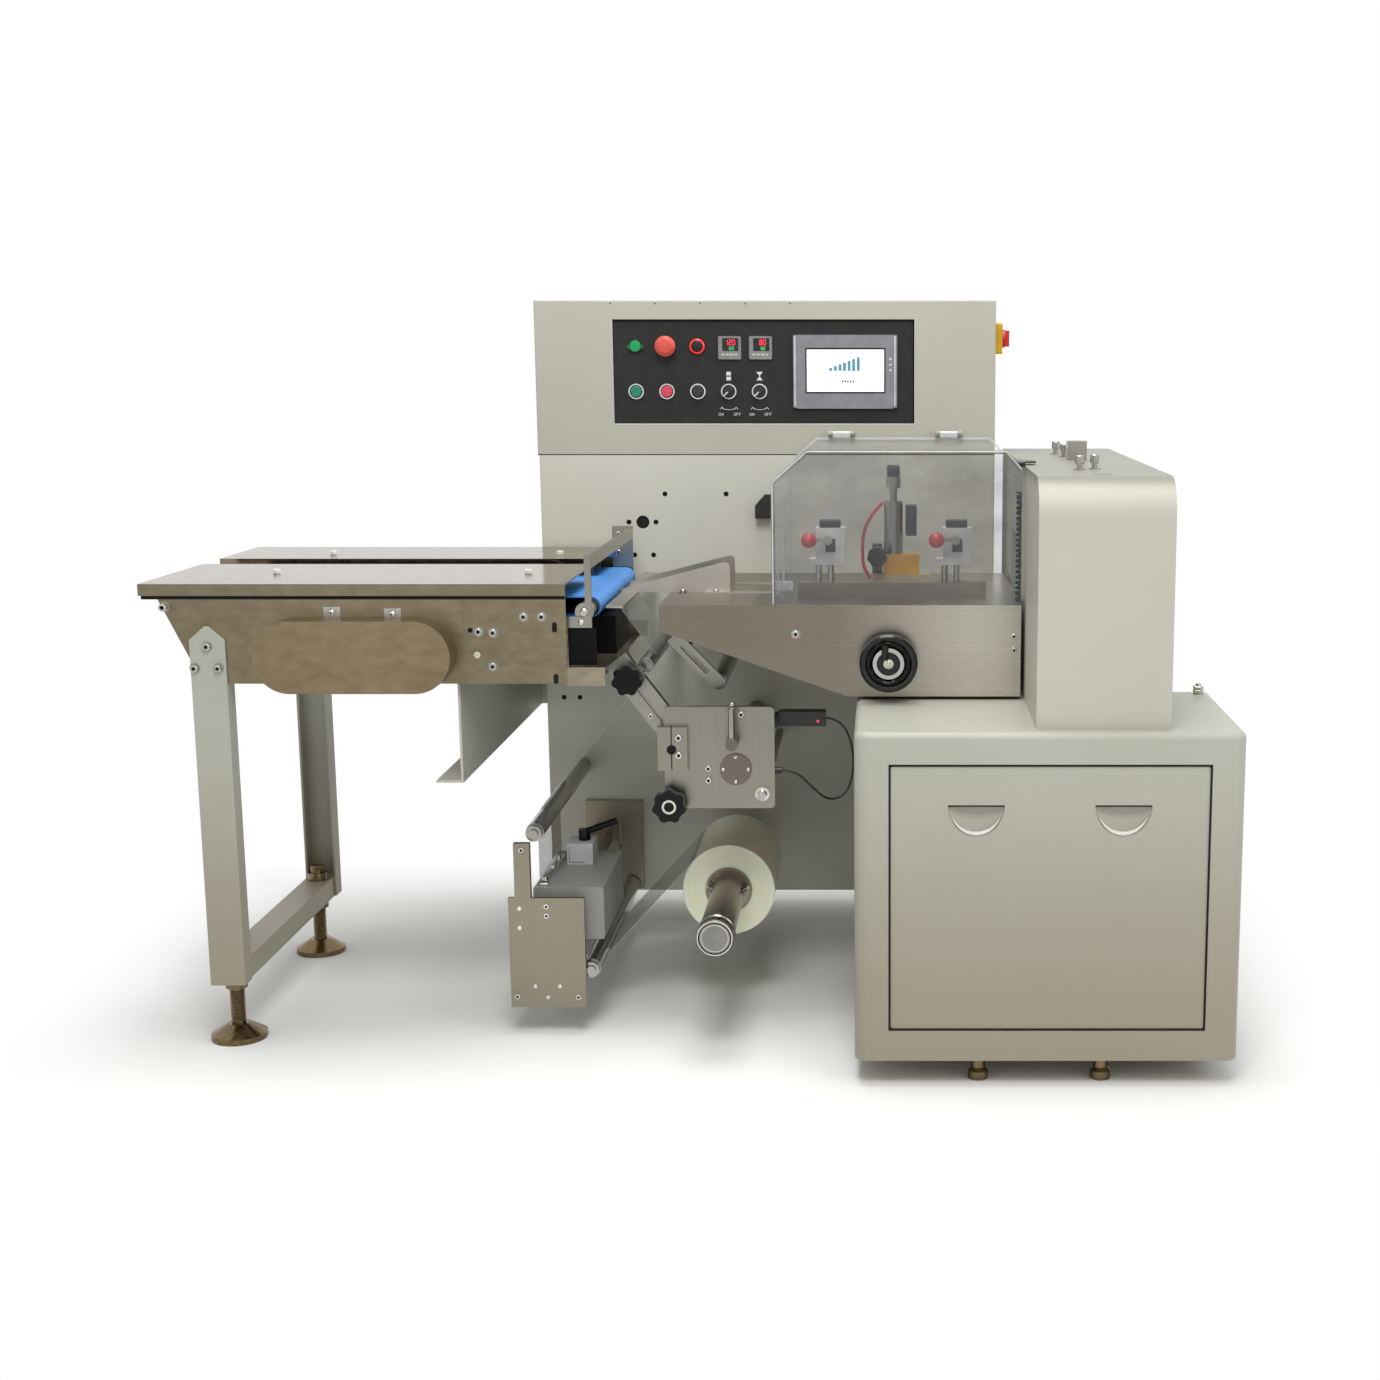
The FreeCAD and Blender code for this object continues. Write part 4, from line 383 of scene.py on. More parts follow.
# Bright zinc shows small sharp lights, its washers are duller and nickel is paler. The bottom of a socket is
# painted black as shade; the same painted shade fills holes, slots, grooves and gaps further on.
zinc = finish("zinc_plated_screw", brushed("#E4E3DE", "#B9B7B1", (1.5, 1.5, 1.5), 0.16))
# Partly painted shade: the washers are duller zinc, and darker than the screws as shade under their heads.
dull_zinc = finish("zinc_plated_washer", brushed("#B4B2AB", "#8D8B85", (1.5, 1.5, 1.5), 0.3))
pale_nickel = finish("nickel_screw_painted_highlight", moulded("#F4F4F0", "#DCDCD6", 0.25))
rubber_black = finish("painted_shade_black", moulded("#141312", "#0C0B0A", 0.6), Specular_IOR_Level=0.2)

bed_face, leg_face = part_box("guard_front")[0][1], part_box("infeed_leg")[0][1]
infeed_low, infeed_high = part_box("infeed_frame")
side_face, plate_top = infeed_low[1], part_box("infeed_plate_front")[1][2]
bolts("bed_screws", "machine", [(0.5587, bed_face, 0.706), (0.5590, bed_face, 0.682)], front,
      0.0048, 0.005, ring=0)
for name, face, axis, radius, height, spots in (
        ("bed_bolt", bed_face, front, 0.0060, 0.006, [(0.180, 0.710)]),
        ("infeed_side_screws", side_face, front, 0.0062, 0.006,
         [(-0.2714, 0.7542), (-0.2412, 0.7542), (-0.3480, 0.7290), (-0.3236, 0.7272), (-0.3257, 0.6699)]),
        ("infeed_corner_bolt", side_face, front, 0.0064, 0.014, [(-0.8727, 0.7712)]),
        ("infeed_back_screws", infeed_high[1], back, 0.006, 0.005,
         [(-0.873, 0.771), (-0.272, 0.754), (-0.3535, 0.729)])):
    bolts(name, "machine", [(x, face, z) for x, z in spots], axis, radius, height)
# Painted highlight: the nickel hexagons are near-white, like their lit facets.
piece("infeed_plate_screws", "machine", pale_nickel,
      *[hexagon((x, y, plate_top), up, 0.0125, 0.0075) for x, y in
        ((-0.730, -0.200), (-0.2895, -0.200), (-0.722, 0.120), (-0.288, 0.120))], soft=20)
# Painted shade: the two holes in the side sheet are black discs.
piece("infeed_side_holes", "machine", rubber_black,
      *[stud((x, side_face, z), front, 0.0042, 0.0004, 0.0004, 0.0002)
        for x, z in ((-0.4105, 0.7325), (-0.3625, 0.7313))])
piece("infeed_side_plug", "machine", finish("moulded_plug_white", moulded("#D9D5C6", "#C9C5B6", 0.5)),
      button_screw((-0.3524, side_face, 0.6889), front, 0.0058, 0.002))
tab = 0.0020
for count, (x, z) in enumerate(((-0.5928, 0.7624), (-0.4913, 0.7596))):
    piece(f"cover_tab_{count + 1}", "machine", dull_zinc,
          rounded_block((x - 0.0145, side_face - tab, z - 0.0140), (x + 0.0145, side_face, z + 0.0090),
                        0.0008))
    bolts(f"cover_tab_screw_{count + 1}", "machine", [(x, side_face - tab, z)], front, 0.0050, 0.004,
          button_screw)
leg_spots = ((-0.805, 0.704), (-0.828, 0.667), (-0.788, 0.667))
bolts("leg_screws", "machine", [(x, leg_face, z) for x, z in leg_spots], front, 0.0062, 0.006)

# ---- Stainless sheet ----------------------------------------------------------------------------
# The infeed plates and sides, the drive cover and the sealing bed are stainless sheet brushed
# along the machine, folded, and screwed together so that they can be washed down.


def stainless(light, dark, rough=0.3):
    """Pickled stainless sheet: a mottle about 15 mm across under cloudy patches."""
    return brushed(light, dark, (26, 15, 15), rough, 0.00001, streak=1.1)


# Fine lines along the bed draw its highlight out, and the bed is painted lighter towards the guard: a painted
# reflection. The pickled sides and the drive cover look cloudy and brown, and the polished plates like dull
# glass.
# The lines are drawn 2 mm wide, as coarse as they need to be to show.
mill_lines = (9000, 3, 2.0)
bed_steel = fading(brushed("#8A8376", "#7D7568", mill_lines, 0.27, streak=1.0),
                   brushed("#CDC8BD", "#B4AFA4", mill_lines, 0.27, streak=1.0), 0, 0.22, 0.50)
wear(finish("polished_stainless_plate", stainless("#968B77", "#897E6B", 0.15)),
     "infeed_plate_front", "infeed_plate_back")
wear(finish("pickled_stainless_side", stainless("#938870", "#7A705A")), "infeed_frame")
wear(finish("pickled_stainless_cover", stainless("#97866C", "#7E6F57")), "drive_cover")
wear(finish("brushed_stainless_painted_reflection", bed_steel), "sealing_bed")

# ---- Rollers, jaws, arch and former -------------------------------------------------------------
# The rollers and jaws are turned and ground steel bars on bearings. The arch is bent stainless
# strip, bolted on at its foot, and the former is folded sheet.

# Rings left by turning spread a roller's light into a band; the former is soft and pale.
wear(finish("turned_steel_ground", brushed("#B7B5B0", "#8D8B86", (0.4, 30, 0.4), 0.2)),
     "upper_jaw", "lower_jaw", "arm_roller", "link_roller", "upper_roller", "lower_roller")
wear(finish("bent_stainless_strip", brushed("#A8A59B", "#908C84", (0.8, 30, 0.8), 0.25)), "photocell_arch")
wear(finish("polished_former_sheet", brushed("#C3BEB6", "#AFABA1", (60, 60, 60), 0.34)), "film_former")
bolts("former_bolts", "machine", [(x, y, 0.7603) for y in (-0.066, 0.066) for x in (-0.034, 0.026)], up,
      0.0048, 0.004)
arch_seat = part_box("photocell_arch")[1][1] - 0.005
bolts("arch_bolts", "machine", [(-0.188, arch_seat, z) for z in (0.842, 0.806)], front, 0.0042, 0.004, ring=0)

# ---- Film carriage, arms and coder frame --------------------------------------------------------
# Aluminium plate, milled and left bare, with a dark clamping disc, a domed stud and a black
# hand lever on the carriage.

# Fine milling gives bare aluminium a flat, pale shine. The disc and the seat of the lever are darker
# turned steel, and the stud and the lever are polished. Arms and coder plates are sawn and brushed.
milled = brushed("#949287", "#89877C", (1.5, 1.5, 900), 0.3, streak=0.8)
dark_steel = brushed("#5A5650", "#3E3B37", (1.2, 1.2, 1.2), 0.3)
ebony = moulded("#191919", "#0F0F0F", 0.3)
bright = brushed("#C9C7C2", "#7E7C78", (3, 3, 60), 0.14, streak=1.5)
disc_steel = brushed("#7C766D", "#6A645B", (1.2, 1.2, 1.2), 0.35)
disc = (disc_steel, (0.044, -0.30, 0.443), (0.104, -0.2622, 0.503))
dome = (bright, (0.108, -0.30, 0.417), (0.132, -0.2622, 0.441))
lever_bar = (bright, (0.055, -0.32, 0.535), (0.085, -0.2622, 0.600))
lever_seat = (disc_steel, (0.055, -0.32, 0.505), (0.085, -0.2622, 0.535))
wear(finish("milled_aluminium_carriage", milled, disc, dome, lever_bar, lever_seat), "film_carriage")
wear(finish("milled_aluminium_arms", brushed("#999790", "#908F87", (9, 0.8, 0.8), 0.33)), "roller_arms")
wear(finish("milled_aluminium_coder", brushed("#968E7E", "#8A8374", (6, 6, 6), 0.36, streak=0.9)),
     "coder_frame")

carriage_face, clamp_face, head = -0.262, -0.275, 0.005
plate_spots = ((0.026, 0.4743), (0.026, 0.4531), (0.0843, 0.5705))
clamp_x, clamp_spots = -0.0240, (0.5314, 0.5005)
disc_ring = [(0.074 + 0.022 * x, carriage_face - 0.004, 0.473 + 0.022 * z)
             for x, z in ((1, 0), (0, 1), (-1, 0), (0, -1))]
stud_dome = [(0.0125, 0), (0.0125, 0.003), (0.0085, 0.004),
             *[(0.0085 * math.cos(a), 0.007 + 0.0085 * math.sin(a)) for a in np.linspace(0, 1.45, 6)]]
piece("carriage_screws", "machine", zinc,
      *[cap_screw((x, carriage_face, z), front, 0.0055, head) for x, z in plate_spots],
      *[cap_screw((clamp_x, clamp_face, z), front, 0.0062, head) for z in clamp_spots],
      *[button_screw(spot, front, 0.0036, 0.002) for spot in disc_ring],
      cap_screw((0.070, carriage_face - 0.012, 0.588), up, 0.0052, 0.006),
      revolved(stud_dome, (0.120, carriage_face, 0.429), front), soft=30)
socket_floor = 0.0028
# Painted shade: black in the clamp's slot and hole, and at the bottoms of the sockets.
piece("carriage_clamp_gap", "machine", rubber_black,
      stud((-0.0366, clamp_face, 0.5103), front, 0.0085, 0.0006, 0.0005, 0.0002),
      rounded_block((-0.0374, clamp_face + 0.0005, 0.4750), (-0.0358, clamp_face + 0.0020, 0.5500),
                    0.0002, 1),
      *[dot((clamp_x, clamp_face - socket_floor, z), front, 0.0030) for z in clamp_spots],
      *[dot((x, carriage_face - socket_floor, z), front, 0.0028) for x, z in plate_spots])
low_knob_hub = (-0.040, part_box("low_knob")[0][1], 0.414)
piece("low_knob_ring", "low_knob", zinc, washer(low_knob_hub, front, 0.0125, 0.0088, 0.0016), soft=30)
# Painted shade: the knob's bore is black.
piece("low_knob_bore", "low_knob", rubber_black, stud(low_knob_hub, front, 0.0070, 0.0012, 0.0010, 0.0004))
arm_face, coder_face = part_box("roller_arms")[0][1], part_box("coder_frame")[0][1]
bolts("arm_screw", "machine", [(-0.0745, arm_face, 0.5655)], front, 0.0045, 0.004, ring=0)
bolts("coder_corner_screws", "machine", [(x, coder_face, z) for x, z in (
    (-0.2985, 0.338), (-0.3135, 0.072), (-0.2055, 0.071), (-0.2578, 0.2364), (-0.2578, 0.2196))],
    front, 0.0048, 0.004, ring=0)
piece("coder_pins", "machine", zinc,
      *[stud((x, coder_face, z), front, 0.0036, 0.0008, 0.0006, 0.0004) for x, z in
        ((-0.3056, 0.232), (-0.3060, 0.197), (-0.2814, 0.0902), (-0.2383, 0.0902), (-0.2597, 0.0700))],
      soft=30)

# ---- Levelling feet -----------------------------------------------------------------------------
# Turned steel pads on threaded rods, zinc plated and passivated yellow. Each rod screws into its
# leg, and a lock nut holds the height.

# Yellow passivation tints the zinc brown and gold, in cloudy patches.
passivated = finish("zinc_plate_yellow_passivated",
                    brushed("#9A8868", "#5E4F38", (5, 5, 5), 0.22, streak=1.0))
wear(passivated, "levelling_feet")


def thread(place, radius, pitch, height):
    """A screw thread: a ridge of triangular section wound up round the axis, one turn a pitch."""
    steps = int(height / pitch * 20)
    turn = np.linspace(0, height / pitch * 2 * math.pi, steps)
    rise = np.linspace(0, height, steps)
    around = np.stack([np.cos(turn), np.sin(turn), np.zeros(steps)], axis=1)
    lift = np.stack([np.zeros(steps), np.zeros(steps), rise], axis=1)
    inner, outer = around * (radius - pitch * 0.1), around * (radius + pitch * 0.42)
    half = np.array([0, 0, pitch * 0.42])
    points = np.stack([inner + lift - half, outer + lift, inner + lift + half], axis=1).reshape(-1, 3)
    row = np.arange(steps - 1)[:, None] * 3
    sides = [np.stack([row + a, row + 3 + a, row + 3 + b, row + b], axis=2).reshape(-1, 4)
             for a, b in ((1, 0), (2, 1), (0, 2))]
    ends = [np.array([[0, 1, 2]]), np.array([[2, 1, 0]]) + (steps - 1) * 3]
    return points + np.array(place), [*sides, *ends]


piece("leg_foot_threads", "machine", passivated,
      *[thread((-0.805, y, z), 0.012, 0.0025, height)
        for y, z, height in ((-0.312, 0.031, 0.058), (0.181, 0.031, 0.058), (0.181, 0.168, 0.010))], soft=20)

# ---- Top of the base: a stack of nuts -----------------------------------------------------------
# A zinc-plated stud stands up through the base's top, as the fixing of an outfeed rail. Two nuts
# and a washer are screwed down on it.

stack_x, stack_y, base_top = 0.891, -0.191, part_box("base_cabinet")[1][2]
piece("base_top_nuts", "machine", zinc,
      washer((stack_x, stack_y, base_top), up, 0.0105, 0.004, 0.0015),
      *[hexagon((stack_x, stack_y, base_top + rise), up, 0.016, 0.0065) for rise in (0.0015, 0.0083)],
      stud((stack_x, stack_y, base_top), up, 0.0048, 0.018, 0.0012, 0.0015, 20), soft=25)

# ---- Finger pulls -------------------------------------------------------------------------------
# Pressed hollows in the cover panel, their rim drawn sharp. The light on each lower lip is a painted
# highlight, and the dark upper edge a painted shade.

panel_low, panel_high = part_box("base_panel")
panel_face, pull_middles, lip_reach = panel_low[1], (0.4815, 0.7185), 0.0425
# The lower lip is a painted highlight in paler, shinier paint than the panel.
lip_paint = finish("painted_highlight_pale", powder("#E2E2DA", "#D2D2C9", 0.3))
lip_arc = [(lip_reach * math.cos(a), 0.4745 + 0.0465 * math.sin(a))
           for a in np.linspace(math.pi * 1.14, math.pi * 1.86, 19)]
lip_radius = [0.0003 + 0.0032 * math.sin(math.pi * k / 18) for k in range(19)]
piece("pull_lip_highlights", "machine", lip_paint,
      *[swept([(x + across, panel_face + 0.0022, z) for across, z in lip_arc], lip_radius)
        for x in pull_middles])
# Painted shade along the top edge of each hollow.
piece("pull_top_shade", "machine", rubber_black,
      *[rounded_block((x - 0.0455, panel_face - 0.0003, 0.4728), (x + 0.0455, panel_face + 0.0010, 0.4754),
                      0.0003, 1) for x in pull_middles])

# Painted shade: a black border in the gap round the cover panel.
seal, seal_front, seal_back = 0.0026, panel_face - 0.0021, panel_face - 0.0012
piece("cover_panel_gap_shade", "machine", rubber_black,
      *[rounded_block((x, seal_front, panel_low[2]), (x + seal, seal_back, panel_high[2]), 0.0003, 1)
        for x in (panel_low[0] - seal, panel_high[0])],
      *[rounded_block((panel_low[0] - seal, seal_front, z), (panel_high[0] + seal, seal_back, z + seal),
                      0.0003, 1) for z in (panel_low[2] - seal, panel_high[2])])

# ---- Control panel ------------------------------------------------------------------------------
# A black anodised plate with a fine grain. It carries two rows of 22 mm devices with bright rings,
# and only generic marks are printed on it.

panel_face, bezel_face, box_face = 0.293, 0.289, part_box("control_box")[0][1]
(left, right), (low, high) = (-0.201, 0.393), (1.053, 1.256)
columns, high_row, low_row = (-0.157, -0.096, -0.035, 0.026, 0.087), 1.204, 1.116
# Dyed anodising is a matt near-black. Rings are nickel bright, caps and lamps glossy ABS.
wear(finish("anodised_plate_black", moulded("#2C2C2C", "#242424", 0.5), Specular_IOR_Level=0.25),
     "control_panel")
piece("button_rings", "machine", finish("chrome_plated_ring", moulded("#E9E9E5", "#D5D5D1", 0.2)),
      *[washer((x, bezel_face + 0.0006, low_row), front, 0.0152, 0.0128, 0.0014) for x in columns], soft=30)
rim, rim_front, rim_back = 0.0012, box_face - 0.0006, box_face + 0.004
# Painted highlight along the recess's left, lower and right rims.
piece("recess_rim_highlights", "machine", lip_paint,
      *[rounded_block((x, rim_front, low - rim), (x + rim, rim_back, high), 0.0004)
        for x in (left - rim, right)],
      rounded_block((left - rim, rim_front, low - 2 * rim), (right + rim, rim_back, low), 0.0004))
# Painted shadow inside the recess's top and right edges.
gasket_front, gasket_top, corner = panel_face - 0.0030, high - 0.0040, 0.0002
piece("recess_shadow_strips", "machine", rubber_black,
      rounded_block((left, gasket_front, gasket_top), (right, panel_face, high - corner), 0.0008),
      rounded_block((right - 0.0030, gasket_front, low), (right - corner, panel_face, gasket_top), 0.0008))
piece("lamp_ring", "machine", finish("moulded_black_ring", ebony),
      washer((columns[2], bezel_face + 0.0005, high_row), front, 0.0160, 0.0147, 0.0012), soft=30)
ear = ((0.0115, -0.0065), (0.0165, -0.0035), (0.0160, 0.0015), (0.0125, 0.0030))
piece("mark_button_ears", "machine", finish("moulded_green_dark", moulded("#1C6B44", "#155737", 0.4)),
      *[prism([(columns[0] + side * across, high_row + rise) for across, rise in ear],
              bezel_face - 0.0010, bezel_face + 0.0035) for side in (-1, 1)], bevel=0.0004)

lamp_lens = finish("moulded_lens_red_lit", moulded("#FF3A2E", "#F01F18", 0.2), Emission_Color="#FF1A10",
                   Emission_Strength=1.3, Coat_Weight=0.5)
lens_dome = [(0.0145, 0), (0.0145, 0.0006),
             *[(0.0145 * math.cos(a), 0.0006 + 0.003 * math.sin(a)) for a in np.linspace(0.1, 1.45, 6)]]
piece("power_lamp", "machine", lamp_lens,
      revolved(lens_dome, (columns[2], bezel_face, high_row), front, 32), soft=40)
for node, light, dark in (("mark_button", "#12A860", "#0C9452"), ("start_button", "#2A8C72", "#1F7C63"),
                          ("stop_button", "#E4506A", "#D43E59"), ("jog_button", "#2E2E2E", "#242424"),
                          ("emergency_stop", "#DC5A4C", "#CC4A3D")):
    wear(finish(f"moulded_cap_{node}", moulded(light, dark, 0.33)), node)
wear(finish("moulded_selector_black", moulded("#2B2B2B", "#1D1D1D", 0.3)), "left_selector", "right_selector")
printed = finish("printed_mark_white", moulded("#E8E8E4", "#DADAD6", 0.5))
for name, x in (("left_selector", columns[3]), ("right_selector", columns[4])):
    tip = [(x - 0.0088, 0.2768, low_row - 0.0088), (x - 0.0012, 0.2768, low_row - 0.0012)]
    piece(f"{name}_pointer", name, printed, swept(tip, 0.0013, 8))

round_o = [(0.35 + 0.35 * math.cos(a), 0.5 + 0.5 * math.sin(a)) for a in np.linspace(0, 2 * math.pi, 17)]
LETTERS = {"O": [round_o], "N": [[(0, 0), (0, 1), (0.7, 0), (0.7, 1)]],
           "F": [[(0, 0), (0, 1), (0.6, 1)], [(0, 0.52), (0.5, 0.52)]]}


def printed_line(strokes, x, z, scale, width):
    """Flat strokes on the panel: each run of (x, z) points becomes a low bead."""
    runs = [run for stroke in strokes for run in zip(stroke, stroke[1:])]
    return [swept([(x + across * scale, panel_face, z + rise * scale) for across, rise in run], width / 2, 6)
            for run in runs]


def card(x, z, y, out=0.0002, back=0.0002):
    """A thin plate facing the operator, between pairs of x and z."""
    return prism([(x[0], z[0]), (x[1], z[0]), (x[1], z[1]), (x[0], z[1])], y - out, y + back)


dial = [(0.021 * math.sin(a), -0.036 + 0.013 * (1 - math.cos(a))) for a in np.linspace(-0.72, 0.72, 13)]
arrow = [(-0.0178, -0.0352), (-0.0142, -0.0308), (-0.0105, -0.0345)]
turned_arrow = [(-across, rise) for across, rise in arrow[::-1]]
size, word_low, mark_low = 0.0052, low_row - 0.0475, low_row + 0.0215
marks = []
for x in columns[3:]:
    marks += printed_line([dial, arrow, turned_arrow], x, low_row, 1, 0.0012)
    for word, start in (("ON", -0.0205), ("OFF", 0.0095)):
        for count, letter in enumerate(word):
            marks += printed_line(LETTERS[letter], x + start + count * size, word_low, size, 0.0009)
marks += [card((columns[3] - 0.0045, columns[3] + 0.0045), (mark_low + z, mark_low + z + 0.0072), panel_face)
          for z in (0, 0.0095)]
marks += [prism([(columns[4] - 0.0062, mark_low + rise), (columns[4] + 0.0062, mark_low + rise),
                 (columns[4], mark_low + 0.0083)][::way], panel_face - 0.0002, panel_face + 0.0002)
          for rise, way in ((0, 1), (0.0166, -1))]
piece("panel_marks", "machine", printed, *marks)

# ---- Temperature controllers --------------------------------------------------------------------
# Two 48 mm controllers in moulded grey cases, clipped into the panel. Each has a black window with
# red and green figures over four keys.

SEGMENTS = {"a": (0.5, 1.0, 0), "b": (1.0, 0.75, 1), "c": (1.0, 0.25, 1), "d": (0.5, 0.0, 0),
            "e": (0.0, 0.25, 1), "f": (0.0, 0.75, 1), "g": (0.5, 0.5, 0)}
DIGITS = {"0": "abcdef", "1": "bc", "2": "abged", "8": "abcdefg"}


def figures(text, x, y, z, wide, high, bar):
    """Seven-segment figures facing the operator, from (x, z) at their lower left corner. Each
    segment is a flat bar whose place is a share of the figure's width and height."""
    bars = []
    for count, figure in enumerate(text):
        for name in DIGITS[figure]:
            across, rise, upright = SEGMENTS[name]
            middle = (x + count * wide * 1.55 + across * wide, z + rise * high)
            half = (bar / 2, high * 0.21) if upright else (wide * 0.42, bar / 2)
            sides = [(at - reach, at + reach) for at, reach in zip(middle, half)]
            bars.append(card(*sides, y, back=0.0001))
    return bars


case_face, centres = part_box("temperature_controllers")[0][1], (0.029, 0.090)
# A glossy black window in a grained grey case; the figures light up by themselves.
window_black = moulded("#141416", "#0C0C0E", 0.2)
windows = [(window_black, (x - 0.0145, case_face - 0.001, 1.1945), (x + 0.0175, case_face + 0.0004, 1.2195))
           for x in centres]
wear(finish("moulded_controller_case", moulded("#8E8E8C", "#7B7B79", 0.4), *windows),
     "temperature_controllers")
red_light = finish("lit_segment_red", moulded("#FF2A4A", "#FF2A4A", 0.4), Emission_Color="#FF2040",
                   Emission_Strength=1.1)
green_light = finish("lit_segment_green", moulded("#3CCB6E", "#3CCB6E", 0.4), Emission_Color="#2FBF60",
                     Emission_Strength=0.7)
for name, light, z, sizes, left_of, right_of in (
        ("controller_red_figures", red_light, 1.2065, (0.0046, 0.0098, 0.0015), -0.0085, -0.0015),
        ("controller_green_figures", green_light, 1.1968, (0.0030, 0.0058, 0.0010), -0.004, 0.001)):
    piece(name, "machine", light, *figures("120", centres[0] + left_of, case_face, z, *sizes),
          *figures("80", centres[1] + right_of, case_face, z, *sizes))
piece("controller_keys", "machine", finish("moulded_key_pale", moulded("#C9C9C6", "#B5B5B2", 0.4)),
      *[rounded_block((x, case_face - 0.0006, 1.1855), (x + 0.0062, case_face + 0.0006, 1.1892), 0.0005)
        for centre in centres for x in centre + np.array([-0.0165, -0.0080, 0.0005, 0.0090])])

# ---- Touch screen -------------------------------------------------------------------------------
# A moulded grey ABS frame, clamped in the panel from behind, with a black mask round a lit glass.
# The picture on it is a plain start page with a bar chart.

screen_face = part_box("touch_screen")[0][1]
glass_face, glass = screen_face + 0.002, ((0.178, 0.2, 1.112), (0.336, 0.4, 1.201))
# A satin grey case round glass that glows an even white; the light on its edges is a painted highlight.
wear(finish("moulded_screen_frame", moulded("#8C8E94", "#7E8086", 0.42), (window_black, *glass)),
     "touch_screen")
lit = finish("lit_glass_white", moulded("#FBFBFD", "#F6F7FA", 0.12), Emission_Color="#FFFFFF",
             Emission_Strength=0.62)
mark_blue = finish("lit_mark_blue_grey", moulded("#5C93A8", "#4F869B", 0.3), Emission_Color="#5C93A8",
                   Emission_Strength=0.25)
piece("screen_picture", "machine", lit, card((0.1810, 0.3330), (1.1155, 1.1975), glass_face))
piece("screen_button_mark", "machine", mark_blue,
      *[card((0.225 + 0.009 * step, 0.2315 + 0.009 * step), (1.156, 1.162 + 0.0035 * step),
             glass_face - 0.0003) for step in range(7)])
piece("screen_text_mark", "machine", finish("lit_mark_grey", moulded("#77797C", "#6B6D70", 0.4)),
      washer((0.2430, glass_face - 0.0002, 1.1355), front, 0.0036, 0.0027, 0.0003),
      *[card((0.2495 + 0.0052 * step, 0.2532 + 0.0052 * step), (1.1335, 1.1378), glass_face - 0.0003)
        for step in range(5)])
piece("screen_icons", "machine", printed,
      *[card((0.3435, 0.3475), (z - 0.002, z + 0.002), screen_face) for z in (1.1575, 1.1680, 1.1790)])
# Painted highlights along the frame's two sides and its lower edge.
piece("screen_edge_highlights", "machine", finish("screen_edge_painted_highlight", moulded("#E3E5E8", "#CDCFD3", 0.25)),
      *[rounded_block((x, screen_face - 0.0005, 1.0870), (x + 0.0030, screen_face + 0.006, 1.2235), 0.0012)
        for x in (0.1560, 0.3530)],
      rounded_block((0.1620, screen_face + 0.001, 1.0825), (0.3510, screen_face + 0.007, 1.0856), 0.0012))

# ---- Main switch --------------------------------------------------------------------------------
# A padlockable isolator screwed to the control box's side: a yellow plate and a red handle, both
# moulded. Small screws close the box along its top.

# Plate and handle are satin plastic in strong even colours; the screws are painted like the box.
wear(finish("moulded_yellow_plate", moulded("#E3B21C", "#D2A312", 0.35)), "main_switch")
wear(finish("moulded_red_handle", moulded("#D0281E", "#BC1F16", 0.3)), "main_switch_knob")
piece("box_top_screws", "machine", finish("painted_screw_grey", moulded("#8C8B80", "#7C7B71", 0.4)),
      *[button_screw((x, box_face, 1.287), front, 0.0022, 0.0012) for x in np.linspace(-0.204, 0.149, 5)],
      soft=30)

# ---- Hand wheel ---------------------------------------------------------------------------------
# A black phenolic wheel with finger hollows, a turned steel face ring, a centre screw and a
# folding crank. It turns the jaws by hand.

wheel_low, wheel_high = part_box("hand_wheel")
wheel_x, wheel_front, wheel_z = (wheel_low[0] + wheel_high[0]) / 2, wheel_high[1] - 0.022, 0.665
# Phenolic is moulded against polished steel: deep black, with small sharp lights.
phenolic = finish("moulded_phenolic_black", moulded("#0E0E0E", "#080808", 0.12), Specular_IOR_Level=0.2)
wear(finish("polished_phenolic_black", moulded("#0F0F0F", "#090909", 0.14)), "hand_wheel")
wheel_steel = finish("turned_steel_face", brushed("#D8D7D3", "#B4B3AF", (0.6, 0.6, 0.6), 0.2))
piece("wheel_face_ring", "hand_wheel", wheel_steel,
      washer((wheel_x, wheel_front + 0.0080, wheel_z), front, 0.0270, 0.0205, 0.0052), soft=30)
piece("wheel_centre_screw", "hand_wheel", zinc,
      stud((wheel_x, wheel_front + 0.0040, wheel_z), front, 0.0085, 0.003, 0.0025, 0.0005),
      cap_screw((wheel_x, wheel_front + 0.0005, wheel_z), front, 0.0052, 0.0035), soft=30)


def lobed_ring(place, inner, outer, depth, lobes, turns=96):
    """A ring facing the operator whose face rises and falls round it: its height is depth times a
    half-sine across the ring times one plus the cosine of lobes times the angle, over two."""
    across = np.linspace(0, 1, 9)
    angles = np.arange(turns) * 2 * math.pi / turns
    radius = inner + (outer - inner) * across
    height = depth * np.sin(math.pi * across)[:, None] * (0.45 + 0.55 * (1 + np.cos(lobes * angles)) / 2)
    face = np.stack([np.outer(radius, np.cos(angles)), -height, np.outer(radius, np.sin(angles))], axis=2)
    back = face[[-1, 0]] + np.array([0, 0.0004, 0])
    rings = np.concatenate([face, back])
    return rings.reshape(-1, 3) + np.array(place), [skin(len(rings), turns, True)[0][:, ::-1]]


piece("wheel_grip_ring", "hand_wheel", phenolic,
      lobed_ring((wheel_x, wheel_front + 0.0048, wheel_z), 0.0295, 0.0400, 0.0038, 8), soft=60)

# ---- Clear guard --------------------------------------------------------------------------------
# 5 mm cast acrylic, sawn, bent and glued. The faces are faintly hazy, the sawn edges are bright,
# and beads of glue show along the seams.


